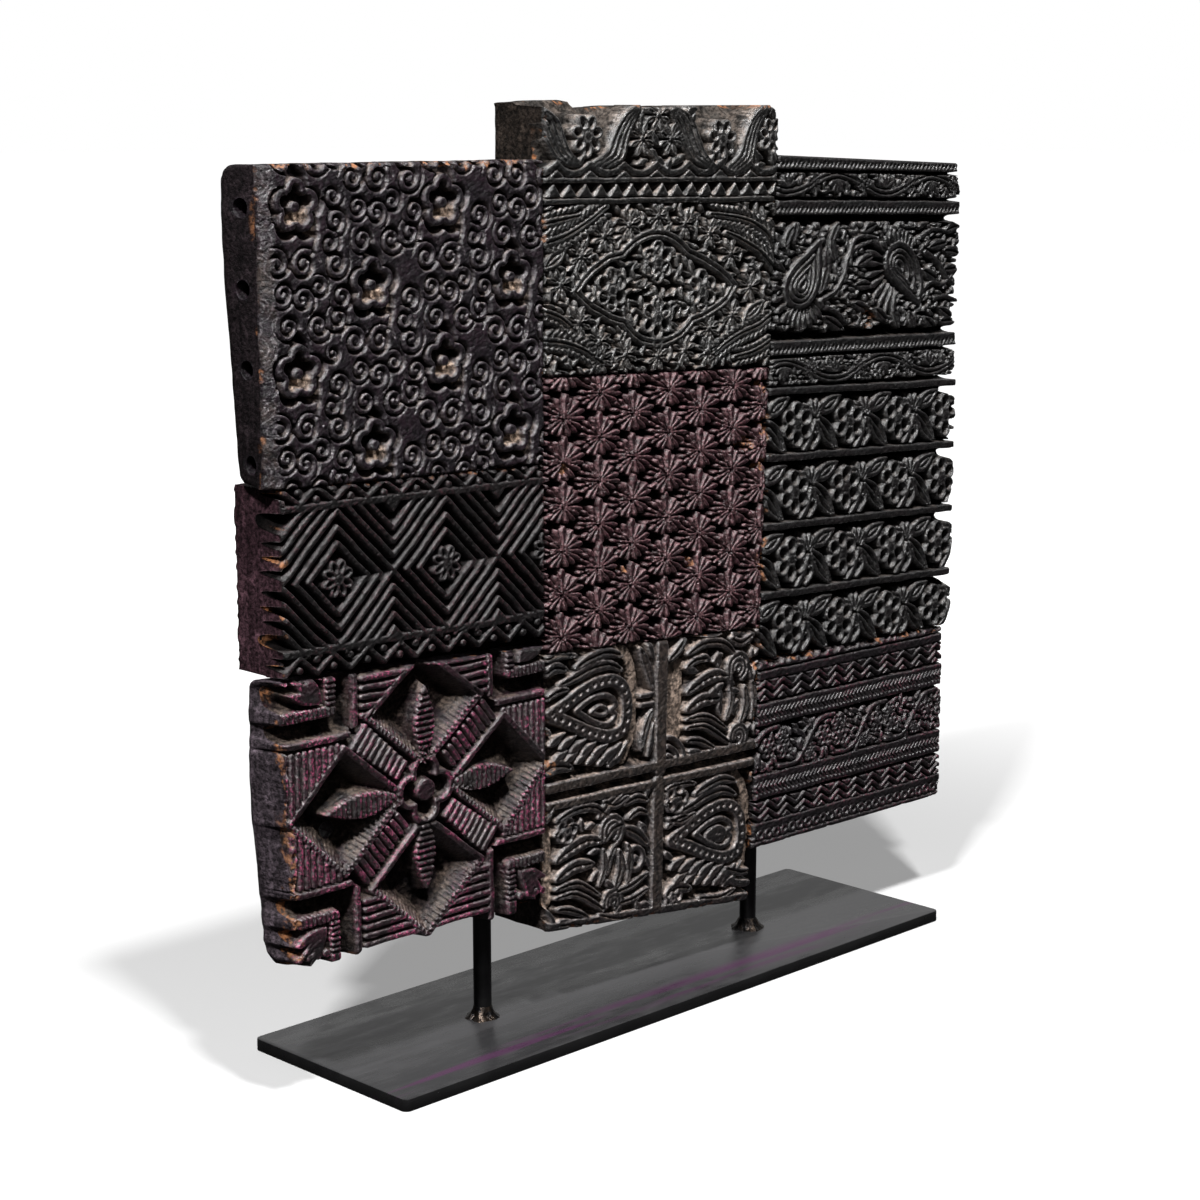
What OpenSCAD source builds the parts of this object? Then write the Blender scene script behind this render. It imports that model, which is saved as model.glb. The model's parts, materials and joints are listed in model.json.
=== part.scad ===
// Nine carved textile printing blocks joined edge to edge and held up on a welded steel stand.
// The origin is under the middle of the base plate. X runs along the plate, the carved faces look
// towards -Y and Z is up. All sizes are in millimetres.

/* [Stand] */
// Length of the base plate
plate_l = 350; // [260:1:460]
// Depth of the base plate, front to back
plate_d = 100; // [70:1:160]
// Thickness of the base plate
plate_t = 5.5; // [4:0.5:12]
// Corner radius of the base plate
plate_corner_r = 3; // [1:0.5:8]
// Diameter of the two upright rods
rod_d = 8; // [6:0.5:10]
// Distance between the two rods
rod_spacing = 175; // [170:1:230]
// Depth of each rod in the block above the bottom row
rod_socket = 40; // [15:1:55]
// Radial room around a rod in its socket and groove
rod_fit = 0.15; // [0.05:0.05:0.4]
// Leg of the weld bead at the foot of each rod
weld_leg = 4.5; // [2:0.5:8]

/* [Panel] */
// Distance from the rods forward to the carved faces
face_offset = 22; // [18:0.5:28]
// Gap between neighbouring blocks
joint_gap = 0.6; // [0.2:0.1:2]
// Depth of the carving
carve_depth = 7; // [4:0.5:9]
// Shift of the middle column to the right of the plate's centre
mid_shift = 2; // [-6:0.5:6]
// Lean of the seam right of the middle column, from bottom to top
seam_lean = 14; // [0:1:20]
// Width of the middle column at half its height
mid_w = 141; // [120:1:150]

/* [Left column] */
// Height of the column's bottom left corner above the floor
left_foot = 60.5; // [40:0.5:90]
// Plum blossom block: width
plum_w = 145.5; // [120:0.5:170]
// Plum blossom block: height
plum_h = 123.5; // [100:0.5:150]
// Plum blossom block: thickness
plum_t = 26.5; // [20:0.5:40]
// Chevron block: width
chevron_w = 140; // [120:0.5:170]
// Chevron block: height
chevron_h = 75.5; // [60:0.5:100]
// Chevron block: thickness
chevron_t = 32.5; // [28:0.5:40]
// Quatrefoil block: width
quatrefoil_w = 142.5; // [120:0.5:170]
// Quatrefoil block: height
quatrefoil_h = 118.5; // [100:0.5:140]
// Quatrefoil block: thickness
quatrefoil_t = 20; // [18:0.5:22]

/* [Middle column] */
// Height of the column's bottom left corner above the floor
mid_foot = 44; // [32:0.5:80]
// Medallion block: height
medallion_h = 111.5; // [90:0.5:140]
// Medallion block: thickness
medallion_t = 32.5; // [24:0.5:40]
// Fan flower block: height
fan_h = 119; // [100:0.5:140]
// Fan flower block: thickness
fan_t = 32.5; // [24:0.5:40]
// Heart block: height
heart_h = 124.5; // [100:0.5:140]
// Heart block: thickness
heart_t = 37.5; // [26:0.5:42]

/* [Right column] */
// Height of the column's bottom left corner above the floor
right_foot = 53.5; // [35:0.5:80]
// Paisley block: width
paisley_w = 140.5; // [120:0.5:170]
// Paisley block: height
paisley_h = 105.5; // [90:0.5:130]
// Paisley block: thickness
paisley_t = 26.5; // [20:0.5:40]
// Flower row block: width
flower_w = 141.5; // [120:0.5:170]
// Flower row block: height
flower_h = 128; // [100:0.5:150]
// Flower row block: thickness
flower_t = 32.5; // [28:0.5:40]
// Border block: width
border_w = 137.5; // [120:0.5:170]
// Border block: height
border_h = 91; // [75:0.5:120]
// Border block: thickness
border_t = 20; // [18:0.5:22]

/* [Air holes] */
// Diameter of the air holes
air_hole_d = 8; // [4:0.5:9]
// Number of air holes across the plum blossom block
air_holes = 4; // [2:1:5]

/* [Fixings] */
// Width of the steel ties behind the blocks
tie_w = 18; // [12:1:24]
// Thickness of the steel ties
tie_t = 3; // [2:0.5:4]
// Length of each tie on either side of its seam
tie_lap = 34; // [26:1:40]
// Diameter of the screw shanks
screw_d = 3.5; // [2.5:0.5:4.5]
// Diameter of the screw heads
screw_head_d = 7; // [5:0.5:9]
// Height of the screw heads
screw_head_h = 2.2; // [1.5:0.1:3]
// Depth of the tie screws in the wood
screw_bite = 9; // [6:0.5:11]
// Depth of the clip screws in the wood
clip_bite = 8; // [5:0.5:10]
// Width of the clips that hold the rods to the bottom blocks
clip_w = 12; // [8:1:20]
// Thickness of the clips
clip_t = 1.5; // [1:0.25:2.5]
// Length of a clip's ear beyond the rod
clip_ear = 10; // [8:0.5:14]

/* [Hidden] */
$fn = 48;

// Colours of the steel and of the dyed wood
STEEL = [0.20, 0.20, 0.21];
ROD_BLACK = [0.09, 0.09, 0.10];
WELD = [0.33, 0.25, 0.20];
SCREW = [0.45, 0.43, 0.40];
PLUM = [0.17, 0.13, 0.15];
BLACK = [0.11, 0.10, 0.10];
DUSTY = [0.22, 0.18, 0.16];
MAUVE = [0.27, 0.18, 0.19];

// Fall of each seam from its left end to its right end, from the top edge down
LEFT_FALL = [0, 3.5, 6.3, 4];
MID_FALL = [0, 5.5, 8, 15];
RIGHT_FALL = [5.6, 4.5, 3.5, 1];

eps = 0.01;
rod_r = rod_d / 2;
rod_x = rod_spacing / 2;
front_y = -face_offset;
half_gap = joint_gap / 2;
tie_gap = 0.4;
hole_room = 0.2;
pilot_room = 0.05;

// Heights of the seams of a column at its left end, from the top edge down
function seam_heights(foot, heights) = [foot + heights[0] + heights[1] + heights[2],
    foot + heights[1] + heights[2], foot + heights[2], foot];
left_z = seam_heights(left_foot, [plum_h, chevron_h, quatrefoil_h]);
mid_z = seam_heights(mid_foot, [medallion_h, fan_h, heart_h]);
right_z = seam_heights(right_foot, [paisley_h, flower_h, border_h]);

// The seams between the columns
left_seam = mid_shift - mid_w / 2;
lean_z = (mid_z[0] + mid_z[3]) / 2;
lean_h = mid_z[0] - mid_z[3];
function right_seam(z) = mid_shift + mid_w / 2 + seam_lean * (z - lean_z) / lean_h;
right_seam_middle = mid_shift + mid_w / 2;

// A block's four corners on the carved face: bottom left, bottom right, top right, top left.
// Row 0 is the top row, and each corner stands half a gap in from its seams.
function left_quad(row, w) = [
    [left_seam - w, left_z[row + 1] + half_gap],
    [left_seam - half_gap, left_z[row + 1] - LEFT_FALL[row + 1] + half_gap],
    [left_seam - half_gap, left_z[row] - LEFT_FALL[row] - half_gap],
    [left_seam - w, left_z[row] - half_gap]];
function mid_quad(row) = let (
    low = mid_z[row + 1] - MID_FALL[row + 1] + half_gap,
    high = mid_z[row] - MID_FALL[row] - half_gap) [
    [left_seam + half_gap, mid_z[row + 1] + half_gap],
    [right_seam(low) - half_gap, low],
    [right_seam(high) - half_gap, high],
    [left_seam + half_gap, mid_z[row] - half_gap]];
function right_quad(row, w) = let (
    low = right_z[row + 1] + half_gap,
    high = right_z[row] - half_gap) [
    [right_seam(low) + half_gap, low],
    [right_seam_middle + w, low - RIGHT_FALL[row + 1]],
    [right_seam_middle + w, high - RIGHT_FALL[row]],
    [right_seam(high) + half_gap, high]];

plum = left_quad(0, plum_w);
chevron = left_quad(1, chevron_w);
quatrefoil = left_quad(2, quatrefoil_w);
medallion = mid_quad(0);
fan = mid_quad(1);
heart = mid_quad(2);
paisley = right_quad(0, paisley_w);
flower = right_quad(1, flower_w);
border = right_quad(2, border_w);

// A point of a block's face, by its share of the width and of the height
function at(q, u, v) = (1 - v) * ((1 - u) * q[0] + u * q[1]) + v * ((1 - u) * q[3] + u * q[2]);
function back_y(t) = front_y + t;
// Height at which a column's seam number i passes x, in the left, right and middle columns
function left_seam_z(i, x, w) = left_z[i] - LEFT_FALL[i] * (x - left_seam + w) / w;
function right_seam_z(i, x, w) = right_z[i]
    - RIGHT_FALL[i] * (x - right_seam(right_z[i])) / (right_seam_middle + w - right_seam(right_z[i]));
function mid_seam_z(i, x) = mid_z[i] - MID_FALL[i] * (x - left_seam) / mid_w;

left_rod_top = left_seam_z(2, -rod_x, chevron_w) + rod_socket;
right_rod_top = right_seam_z(2, rod_x, flower_w) + rod_socket;

// Flat shapes of the carving, drawn with x to the right and height upward

// A straight ridge from p to q
module ridge(p, q, w) {
    d = (q - p) / norm(q - p);
    side = [-d[1], d[0]] * w / 2;
    polygon([p - side, q - side, q + side, p + side]);
}

// A rail across a block at share v of its height
module rail(q, v, w) {
    ridge(at(q, 0, v), at(q, 1, v), w);
}

// A ridge through a list of points
module ridge_line(points, w) {
    n = len(points) - 1;
    function across(i) = let (
        d = points[min(i + 1, n)] - points[max(i - 1, 0)])
        [-d[1], d[0]] * w / 2 / norm(d);
    polygon(concat(
        [for (i = [0 : n]) points[i] - across(i)],
        [for (i = [n : -1 : 0]) points[i] + across(i)]));
}

// A flower with n round petals, parted by notches that are a share of its radius
petal_steps = 6;
petal_notch = 0.35;
module petals(r, n, notch = petal_notch) {
    polygon([for (i = [0 : n * petal_steps - 1])
        let (a = 360 * i / (n * petal_steps))
        r * (1 - notch * (1 - abs(cos(n * a / 2)))) * [cos(a), sin(a)]]);
}

// A pointed leaf of length l and width w that starts at the origin and points along angle a
leaf_steps = 8;
module leaf(l, w, a) {
    rotate(a) polygon(concat(
        [for (i = [0 : leaf_steps]) [l * i / leaf_steps, -w / 2 * sin(180 * i / leaf_steps)]],
        [for (i = [leaf_steps - 1 : -1 : 1]) [l * i / leaf_steps, w / 2 * sin(180 * i / leaf_steps)]]));
}

// The outline of a drop that points along angle a, with its round end about the origin
drop_steps = 24;
drop_taper = 0.75;
module drop(l, r, a) {
    rotate(a) polygon([for (i = [0 : drop_steps - 1])
        let (t = 360 * i / drop_steps, c = cos(t))
        [(c > 0 ? l : r) * c, r * sin(t) * (c > 0 ? 1 - c * c * drop_taper : 1)]]);
}
module drop_ring(l, r, a, w) {
    difference() {
        drop(l, r, a);
        drop(l - 2 * w, r - w, a);
    }
}

// Five overlapping circles of a plum blossom
module plum_lobes(reach, r) {
    for (i = [0 : 4]) rotate(90 + 72 * i) translate([reach, 0]) circle(r);
}

// A block without its carving, from the ground of the carving to its back
module slab(q, t) {
    translate([0, back_y(t), 0]) rotate([90, 0, 0]) linear_extrude(t - carve_depth) polygon(q);
}
// Carved ridges that stand from the ground to the face
module relief() {
    translate([0, front_y + carve_depth, 0]) rotate([90, 0, 0]) linear_extrude(carve_depth) children();
}
// Holes drilled in from the back at the given points, to the given depth
module back_holes(points, t, d, depth) {
    for (p = points)
        translate([p[0], back_y(t) - depth, p[1]]) rotate([-90, 0, 0]) cylinder(d = d, h = depth + eps);
}

// Ties: each joins two neighbours across a seam. along is 0 for a seam between columns, where the
// tie runs along X, and 1 for a seam between rows, where it runs down the column.
tie_screw_shares = [0.42, 0.82];
tie_points = [for (s = [-1, 1]) for (k = tie_screw_shares) s * k * tie_lap];
function highest_foot(q) = max(q[0][1], q[1][1]);
function lowest_top(q) = min(q[2][1], q[3][1]);
// Middle of the height that three blocks side by side share above the height low
function shared_z(a, b, c, low) = (max(low, highest_foot(a), highest_foot(b), highest_foot(c))
    + min(lowest_top(a), lowest_top(b), lowest_top(c))) / 2;
top_tie_z = shared_z(plum, medallion, paisley, 0);
middle_tie_z = shared_z(chevron, fan, flower, max(left_rod_top, right_rod_top) + screw_d);
left_tie_x = (at(plum, 0.5, 0))[0];
centre_tie_x = (at(medallion, 0.5, 0))[0];
right_tie_x = (at(paisley, 0.5, 0))[0];
// Each entry: place of the seam, place along the seam, thickness before and after the seam, along
TOP_TIE_LEFT = [left_seam, top_tie_z, plum_t, medallion_t, 0];
TOP_TIE_RIGHT = [right_seam(top_tie_z), top_tie_z, medallion_t, paisley_t, 0];
MIDDLE_TIE_LEFT = [left_seam, middle_tie_z, chevron_t, fan_t, 0];
MIDDLE_TIE_RIGHT = [right_seam(middle_tie_z), middle_tie_z, fan_t, flower_t, 0];
LEFT_TIE_UPPER = [left_seam_z(1, left_tie_x, plum_w), left_tie_x, chevron_t, plum_t, 1];
LEFT_TIE_LOWER = [left_seam_z(2, left_tie_x, chevron_w), left_tie_x, quatrefoil_t, chevron_t, 1];
CENTRE_TIE_UPPER = [mid_seam_z(1, centre_tie_x), centre_tie_x, fan_t, medallion_t, 1];
CENTRE_TIE_LOWER = [mid_seam_z(2, centre_tie_x), centre_tie_x, heart_t, fan_t, 1];
RIGHT_TIE_UPPER = [right_seam_z(1, right_tie_x, paisley_w), right_tie_x, flower_t, paisley_t, 1];
RIGHT_TIE_LOWER = [right_seam_z(2, right_tie_x, flower_w), right_tie_x, border_t, flower_t, 1];
TIES = [TOP_TIE_LEFT, TOP_TIE_RIGHT, MIDDLE_TIE_LEFT, MIDDLE_TIE_RIGHT, LEFT_TIE_UPPER,
    LEFT_TIE_LOWER, CENTRE_TIE_UPPER, CENTRE_TIE_LOWER, RIGHT_TIE_UPPER, RIGHT_TIE_LOWER];

// A tie screw's place on the back, s along the tie from the seam
function tie_place(tie, s) = tie[4] == 0 ? [tie[0] + s, tie[1]] : [tie[1], tie[0] + s];
// The screws of a tie that go into the block on the side named by sign
function tie_holes(tie, sign) = [for (s = tie_points) if (s * sign > 0) tie_place(tie, s)];
// How far a tie's bend stands from the seam, clear of the thicker block's side and of a tilted seam
tie_tilt = max(seam_lean / lean_h, LEFT_FALL[2] / chevron_w, MID_FALL[2] / mid_w);
tie_stand = half_gap + tie_gap + tie_w * tie_tilt;

// Profile of a tie over a step from back height a to back height b
module tie_profile(a, b) {
    if (abs(a - b) < eps)
        translate([-tie_lap, a]) square([2 * tie_lap, tie_t]);
    else if (a < b)
        polygon([[-tie_lap, a], [-tie_stand, a], [-tie_stand, b], [tie_lap, b], [tie_lap, b + tie_t],
            [-tie_stand - tie_t, b + tie_t], [-tie_stand - tie_t, a + tie_t], [-tie_lap, a + tie_t]]);
    else
        mirror([1, 0]) tie_profile(b, a);
}
module tie(t) {
    a = back_y(t[2]);
    b = back_y(t[3]);
    color(STEEL) difference() {
        if (t[4] == 0)
            translate([t[0], 0, t[1] - tie_w / 2]) linear_extrude(tie_w) tie_profile(a, b);
        else
            translate([t[1] - tie_w / 2, 0, t[0]]) rotate([90, 0, 90]) linear_extrude(tie_w)
                mirror([1, -1]) tie_profile(a, b);
        for (s = tie_points) {
            p = tie_place(t, s);
            translate([p[0], (s < 0 ? a : b) - eps, p[1]]) rotate([-90, 0, 0])
                cylinder(d = screw_d + 2 * hole_room, h = tie_t + 2 * eps);
        }
    }
}

// A round-headed wood screw driven towards -Y, with the underside of its head at the origin
screw_crown = 0.7;
module wood_screw(length) {
    rotate([-90, 0, 0]) {
        translate([0, 0, -length]) cylinder(d = screw_d, h = length + eps);
        cylinder(d1 = screw_head_d, d2 = screw_head_d * screw_crown, h = screw_head_h);
    }
}

// Clips over the rods on the backs of the bottom blocks. Each has one ear, away from the middle column.
clip_shares = [0.25, 0.82];
clip_inner = rod_r + rod_fit;
clip_outer = clip_inner + clip_t;
clip_hole_x = clip_outer + clip_ear / 2;
function clip_places(q, x) = [for (v = clip_shares) [x, (at(q, 0.5, v))[1]]];
function clip_holes(q, x) = [for (p = clip_places(q, x)) p + [sign(x) * clip_hole_x, 0]];
module clip(p, t) {
    y = back_y(t);
    reach = clip_outer + clip_ear;
    leg = max(-y, eps);
    translate([p[0], 0, p[1] - clip_w / 2]) difference() {
        linear_extrude(clip_w) difference() {
            union() {
                translate([p[0] < 0 ? -reach : 0, y]) square([reach, clip_t]);
                translate([-clip_outer, y]) square([2 * clip_outer, leg]);
                circle(clip_outer);
            }
            circle(clip_inner);
            translate([-clip_inner, y - eps]) square([2 * clip_inner, leg + eps]);
            translate([-reach, y - reach]) square([2 * reach, reach]);
        }
        translate([sign(p[0]) * clip_hole_x, y - eps, clip_w / 2]) rotate([-90, 0, 0])
            cylinder(d = screw_d + 2 * hole_room, h = clip_t + 2 * eps);
    }
}

// Pilot holes in one block, for the screws of its ties and for those of the clips at x
module tie_pilots(points, t) {
    back_holes(points, t, screw_d + 2 * pilot_room, screw_bite + pilot_room);
}
module clip_pilots(q, x, t) {
    back_holes(clip_holes(q, x), t, screw_d + 2 * pilot_room, clip_bite + pilot_room);
}

// Stand

module base_plate() {
    inner = [plate_l - 2 * plate_corner_r, plate_d - 2 * plate_corner_r];
    color(STEEL) linear_extrude(plate_t) union() {
        square([plate_l, inner[1]], center = true);
        square([inner[0], plate_d], center = true);
        for (sx = [-1, 1]) for (sy = [-1, 1])
            translate([sx * inner[0] / 2, sy * inner[1] / 2]) circle(plate_corner_r);
    }
}
module rod(x, top) {
    color(ROD_BLACK) translate([x, 0, plate_t]) cylinder(d = rod_d, h = top - plate_t);
}
module left_rod() { rod(-rod_x, left_rod_top); }
module right_rod() { rod(rod_x, right_rod_top); }
weld_steps = 8;
weld_sink = 0.8;
module weld(x) {
    inner = rod_r + eps;
    color(WELD) translate([x, 0, plate_t]) rotate_extrude() polygon(concat(
        [[inner, 0], [inner + weld_leg, 0]],
        [for (i = [1 : weld_steps - 1])
            let (a = 90 * i / weld_steps)
            [inner + weld_leg * (1 - weld_sink * sin(a)), weld_leg * (1 - weld_sink * cos(a))]],
        [[inner, weld_leg]]));
}
module left_weld() { weld(-rod_x); }
module right_weld() { weld(rod_x); }

// Left column

// Plum blossoms in a half-drop repeat, sunk in a raised ground
plum_columns = 4;
plum_rows = 2;
plum_left = 0.44;
plum_high = 0.87;
plum_drop = 0.25;
plum_reach = 5.4;
plum_r = 4.6;
plum_line = 1.8;
plum_room = 3.5;
plum_spread = 1;
plum_pin_r = 2;
air_hole_first = 0.4;
air_hole_cover = 1.5;
plum_places = [for (i = [0 : plum_columns - 1]) for (j = [0 : plum_rows - 1])
    at(plum, (i + plum_left) / plum_columns, plum_high - j / plum_rows - (i % 2) * plum_drop)];
air_hole_y = front_y + carve_depth + air_hole_d / 2 + air_hole_cover;
module plum_blossom_block() {
    color(PLUM) difference() {
        union() {
            slab(plum, plum_t);
            relief() {
                difference() {
                    polygon(plum);
                    for (p = plum_places) translate(p)
                        plum_lobes(plum_reach + plum_spread, plum_r + plum_room);
                }
                for (p = plum_places) translate(p) {
                    difference() {
                        plum_lobes(plum_reach, plum_r);
                        plum_lobes(plum_reach, plum_r - plum_line);
                        circle(plum_reach);
                    }
                    circle(plum_pin_r);
                }
            }
        }
        for (i = [0 : air_holes - 1])
            translate([plum[0][0] - plum_w, air_hole_y, (at(plum, 0, (i + air_hole_first) / air_holes))[1]])
                rotate([0, 90, 0]) cylinder(d = air_hole_d, h = 3 * plum_w);
        tie_pilots(concat(tie_holes(TOP_TIE_LEFT, -1), tie_holes(LEFT_TIE_UPPER, 1)), plum_t);
    }
}

// Nested diamonds between rails, with a zigzag along the top and the bottom
chevron_rail_low = 0.13;
chevron_rail_high = 0.88;
chevron_rail_w = 2.4;
chevron_ridge_w = 2;
chevron_pitch = 6.6;
chevron_cells = [0.18, 0.59, 1.0];
chevron_half = 0.205;
chevron_rings = [15 : chevron_pitch : 50];
chevron_flowers = [chevron_cells[0], chevron_cells[1]];
chevron_flower_r = 7.5;
chevron_petals = 8;
zigzag_teeth = 8;
zigzag_room = 0.02;
zigzag_w = 1.6;
module zigzag(q, v_low, v_high, teeth, w) {
    ridge_line([for (i = [0 : 2 * teeth]) at(q, i / (2 * teeth), i % 2 == 0 ? v_low : v_high)], w);
}
module diamond_ring(half, w) {
    difference() {
        rotate(45) square(sqrt(2) * half, center = true);
        rotate(45) square(sqrt(2) * half - 2 * w, center = true);
    }
}
// The nested diamonds of one cell, about share c of the width and share mid of the height
module diamonds(c, mid) {
    u0 = max(c - chevron_half, 0);
    u1 = min(c + chevron_half, 1);
    intersection() {
        translate(at(chevron, c, mid)) for (k = chevron_rings) diamond_ring(k, chevron_ridge_w);
        polygon([at(chevron, u0, chevron_rail_low), at(chevron, u1, chevron_rail_low),
            at(chevron, u1, chevron_rail_high), at(chevron, u0, chevron_rail_high)]);
    }
}
module chevron_block() {
    mid = (chevron_rail_low + chevron_rail_high) / 2;
    color(BLACK) difference() {
        union() {
            slab(chevron, chevron_t);
            relief() intersection() {
                polygon(chevron);
                union() {
                    rail(chevron, chevron_rail_low, chevron_rail_w);
                    rail(chevron, chevron_rail_high, chevron_rail_w);
                    zigzag(chevron, zigzag_room, chevron_rail_low - zigzag_room, zigzag_teeth, zigzag_w);
                    zigzag(chevron, chevron_rail_high + zigzag_room, 1 - zigzag_room, zigzag_teeth, zigzag_w);
                    for (c = chevron_cells) diamonds(c, mid);
                    for (c = chevron_flowers)
                        translate(at(chevron, c, mid)) petals(chevron_flower_r, chevron_petals);
                }
            }
        }
        translate([-rod_x, 0, left_rod_top - rod_socket - rod_d])
            cylinder(d = rod_d + 2 * rod_fit, h = rod_socket + rod_d + rod_fit);
        tie_pilots(concat(tie_holes(MIDDLE_TIE_LEFT, -1), tie_holes(LEFT_TIE_UPPER, -1),
            tie_holes(LEFT_TIE_LOWER, 1)), chevron_t);
    }
}

// A four-petalled flower of kite-shaped rims, with L-shaped rails in the corners
kite_rim = 4;
kite_half = 30;
kite_inner = 11;
kite_knee = 37;
kite_outer = 66;
kite_tip_share = 2;
kite_side_share = 1.5;
core_line = 2;
core_pin_r = 4;
petal_leaf_l = 34;
petal_leaf_w = 9;
ladder_bars = 7;
ladder_first = 18;
ladder_pitch = 4;
ladder_bar = 1.6;
ladder_w = 8;
corner_rail_x = 36;
corner_rail_z = 26;
corner_rail_w = 2.4;
core_place = [0.515, 0.53];
petal_hole_steps = [[6, 39], [39, 14], [-46, -9], [7, -32]];
flower_centre = at(quatrefoil, core_place[0], core_place[1]);
petal_holes = [for (p = petal_hole_steps) flower_centre + p];
module kite(shrink) {
    side = kite_half - kite_side_share * shrink;
    tip = kite_tip_share * shrink;
    polygon([[kite_inner + tip, 0], [kite_knee, side], [kite_outer - tip, 0], [kite_knee, -side]]);
}
module corner_rails(sx, sz) {
    in_x = corner_rail_x * sx;
    in_z = corner_rail_z * sz;
    corner = at(quatrefoil, sx > 0 ? 0 : 1, sz > 0 ? 0 : 1);
    ridge(corner + [0, in_z], corner + [in_x, in_z], corner_rail_w);
    ridge(corner + [in_x, 0], corner + [in_x, in_z + sz * corner_rail_w / 2], corner_rail_w);
}
module quatrefoil_block() {
    color(DUSTY) difference() {
        union() {
            slab(quatrefoil, quatrefoil_t);
            relief() intersection() {
                polygon(quatrefoil);
                union() {
                    translate(flower_centre) {
                        for (i = [0 : 3]) rotate(90 * i) {
                            difference() {
                                kite(0);
                                kite(kite_rim);
                            }
                            translate([kite_inner + kite_rim, 0]) leaf(petal_leaf_l, petal_leaf_w, 0);
                            rotate(45) for (k = [0 : ladder_bars - 1])
                                translate([ladder_first + ladder_pitch * k, 0])
                                    square([ladder_bar, ladder_w + k], center = true);
                        }
                        difference() {
                            circle(kite_inner + core_line);
                            circle(kite_inner);
                        }
                        circle(core_pin_r);
                    }
                    for (sx = [-1, 1]) for (sz = [-1, 1]) corner_rails(sx, sz);
                }
            }
        }
        for (p = petal_holes)
            translate([p[0], front_y - eps, p[1]]) rotate([-90, 0, 0])
                cylinder(d = air_hole_d, h = quatrefoil_t + 2 * eps);
        translate([-rod_x, 0, 0]) cylinder(d = rod_d + 2 * rod_fit, h = left_rod_top);
        tie_pilots(tie_holes(LEFT_TIE_LOWER, -1), quatrefoil_t);
        clip_pilots(quatrefoil, -rod_x, quatrefoil_t);
    }
}

// Middle column

// An ogee medallion under a band of small pyramids and a row of sweeping leaves
band_low = 0.67;
band_high = 0.75;
band_rail_w = 1.8;
pyramids = 15;
pyramid_half = 0.45 / pyramids;
pyramid_top = band_high - 0.015;
ogee_place = [0.48, 0.32];
ogee_half_w = 50;
ogee_half_h = 23.5;
ogee_line = 2.2;
ogee_steps = 48;
ogee_waist = 0.45;
ogee_wave = 0.1;
rosette_r = 8;
rosette_petals = 8;
rosette_steps = [[0, 12], [-28, 0], [28, 0], [0, -12]];
sprig_r = 5.5;
sprig_petals = 6;
side_sprigs = [for (u = [0.1, 0.9]) for (v = [0.08, 0.32, 0.56]) [u, v]];
edge_sprigs = [for (u = [0.3, 0.48, 0.66]) for (v = [0.05, 0.6]) [u, v]];
crest_sprigs = [[0.42, 0.875], [0.51, 0.875]];
crest_flowers = [[0.18, 0.89], [0.76, 0.89]];
sweep_places = [[0.03, -1], [0.33, 1], [0.58, -1], [0.92, 1]];
sweep_foot = 0.79;
sweep_rise = 0.2;
sweep_run = 0.18;
sweep_pitch = 0.027;
sweep_line = 1.8;
sweep_steps = 8;
function ogee(w, h) = [for (i = [0 : ogee_steps - 1])
    let (t = 360 * i / ogee_steps, c = cos(t))
    [w * c * (1 - ogee_waist * (1 - abs(c))), h * sin(t) * (1 - ogee_wave * (1 - cos(4 * t)))]];
// Three lines side by side that sweep up to the right, or to the left where lean is -1
module sweep(u, lean) {
    for (k = [-1 : 1])
        ridge_line([for (i = [0 : sweep_steps])
            let (s = i / sweep_steps, ease = s * s * (3 - 2 * s))
            at(medallion, u + lean * (sweep_run * (ease - 0.5) + sweep_pitch * k),
                sweep_foot + sweep_rise * s)], sweep_line);
}
module medallion_block() {
    color(BLACK) difference() {
        union() {
            slab(medallion, medallion_t);
            relief() intersection() {
                polygon(medallion);
                union() {
                    rail(medallion, band_low, band_rail_w);
                    rail(medallion, band_high, band_rail_w);
                    for (i = [0 : pyramids - 1]) {
                        u = (i + 0.5) / pyramids;
                        polygon([at(medallion, u - pyramid_half, band_low),
                            at(medallion, u + pyramid_half, band_low), at(medallion, u, pyramid_top)]);
                    }
                    translate(at(medallion, ogee_place[0], ogee_place[1])) {
                        difference() {
                            polygon(ogee(ogee_half_w, ogee_half_h));
                            polygon(ogee(ogee_half_w - 2 * ogee_line, ogee_half_h - ogee_line));
                        }
                        for (p = rosette_steps) translate(p) petals(rosette_r, rosette_petals);
                    }
                    for (p = concat(side_sprigs, edge_sprigs, crest_sprigs))
                        translate(at(medallion, p[0], p[1])) petals(sprig_r, sprig_petals);
                    for (p = crest_flowers)
                        translate(at(medallion, p[0], p[1])) petals(rosette_r, rosette_petals);
                    for (s = sweep_places) sweep(s[0], s[1]);
                }
            }
        }
        tie_pilots(concat(tie_holes(TOP_TIE_LEFT, 1), tie_holes(TOP_TIE_RIGHT, -1),
            tie_holes(CENTRE_TIE_UPPER, 1)), medallion_t);
    }
}

// Fan-shaped flowers in a half-drop repeat
fan_columns = 7;
fan_rows = 6;
fan_r = 9;
fan_petals = 9;
fan_first = 0.4;
fan_drop = 0.5;
module fan_flower_block() {
    color(MAUVE) difference() {
        union() {
            slab(fan, fan_t);
            relief() intersection() {
                polygon(fan);
                for (i = [0 : fan_columns - 1]) for (j = [0 : fan_rows - 1])
                    translate(at(fan, (i + 0.5) / fan_columns,
                        (j + fan_first + fan_drop * (i % 2)) / fan_rows))
                        rotate(90) petals(fan_r, fan_petals);
            }
        }
        tie_pilots(concat(tie_holes(MIDDLE_TIE_LEFT, 1), tie_holes(MIDDLE_TIE_RIGHT, -1),
            tie_holes(CENTRE_TIE_UPPER, -1), tie_holes(CENTRE_TIE_LOWER, 1)), fan_t);
    }
}

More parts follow.
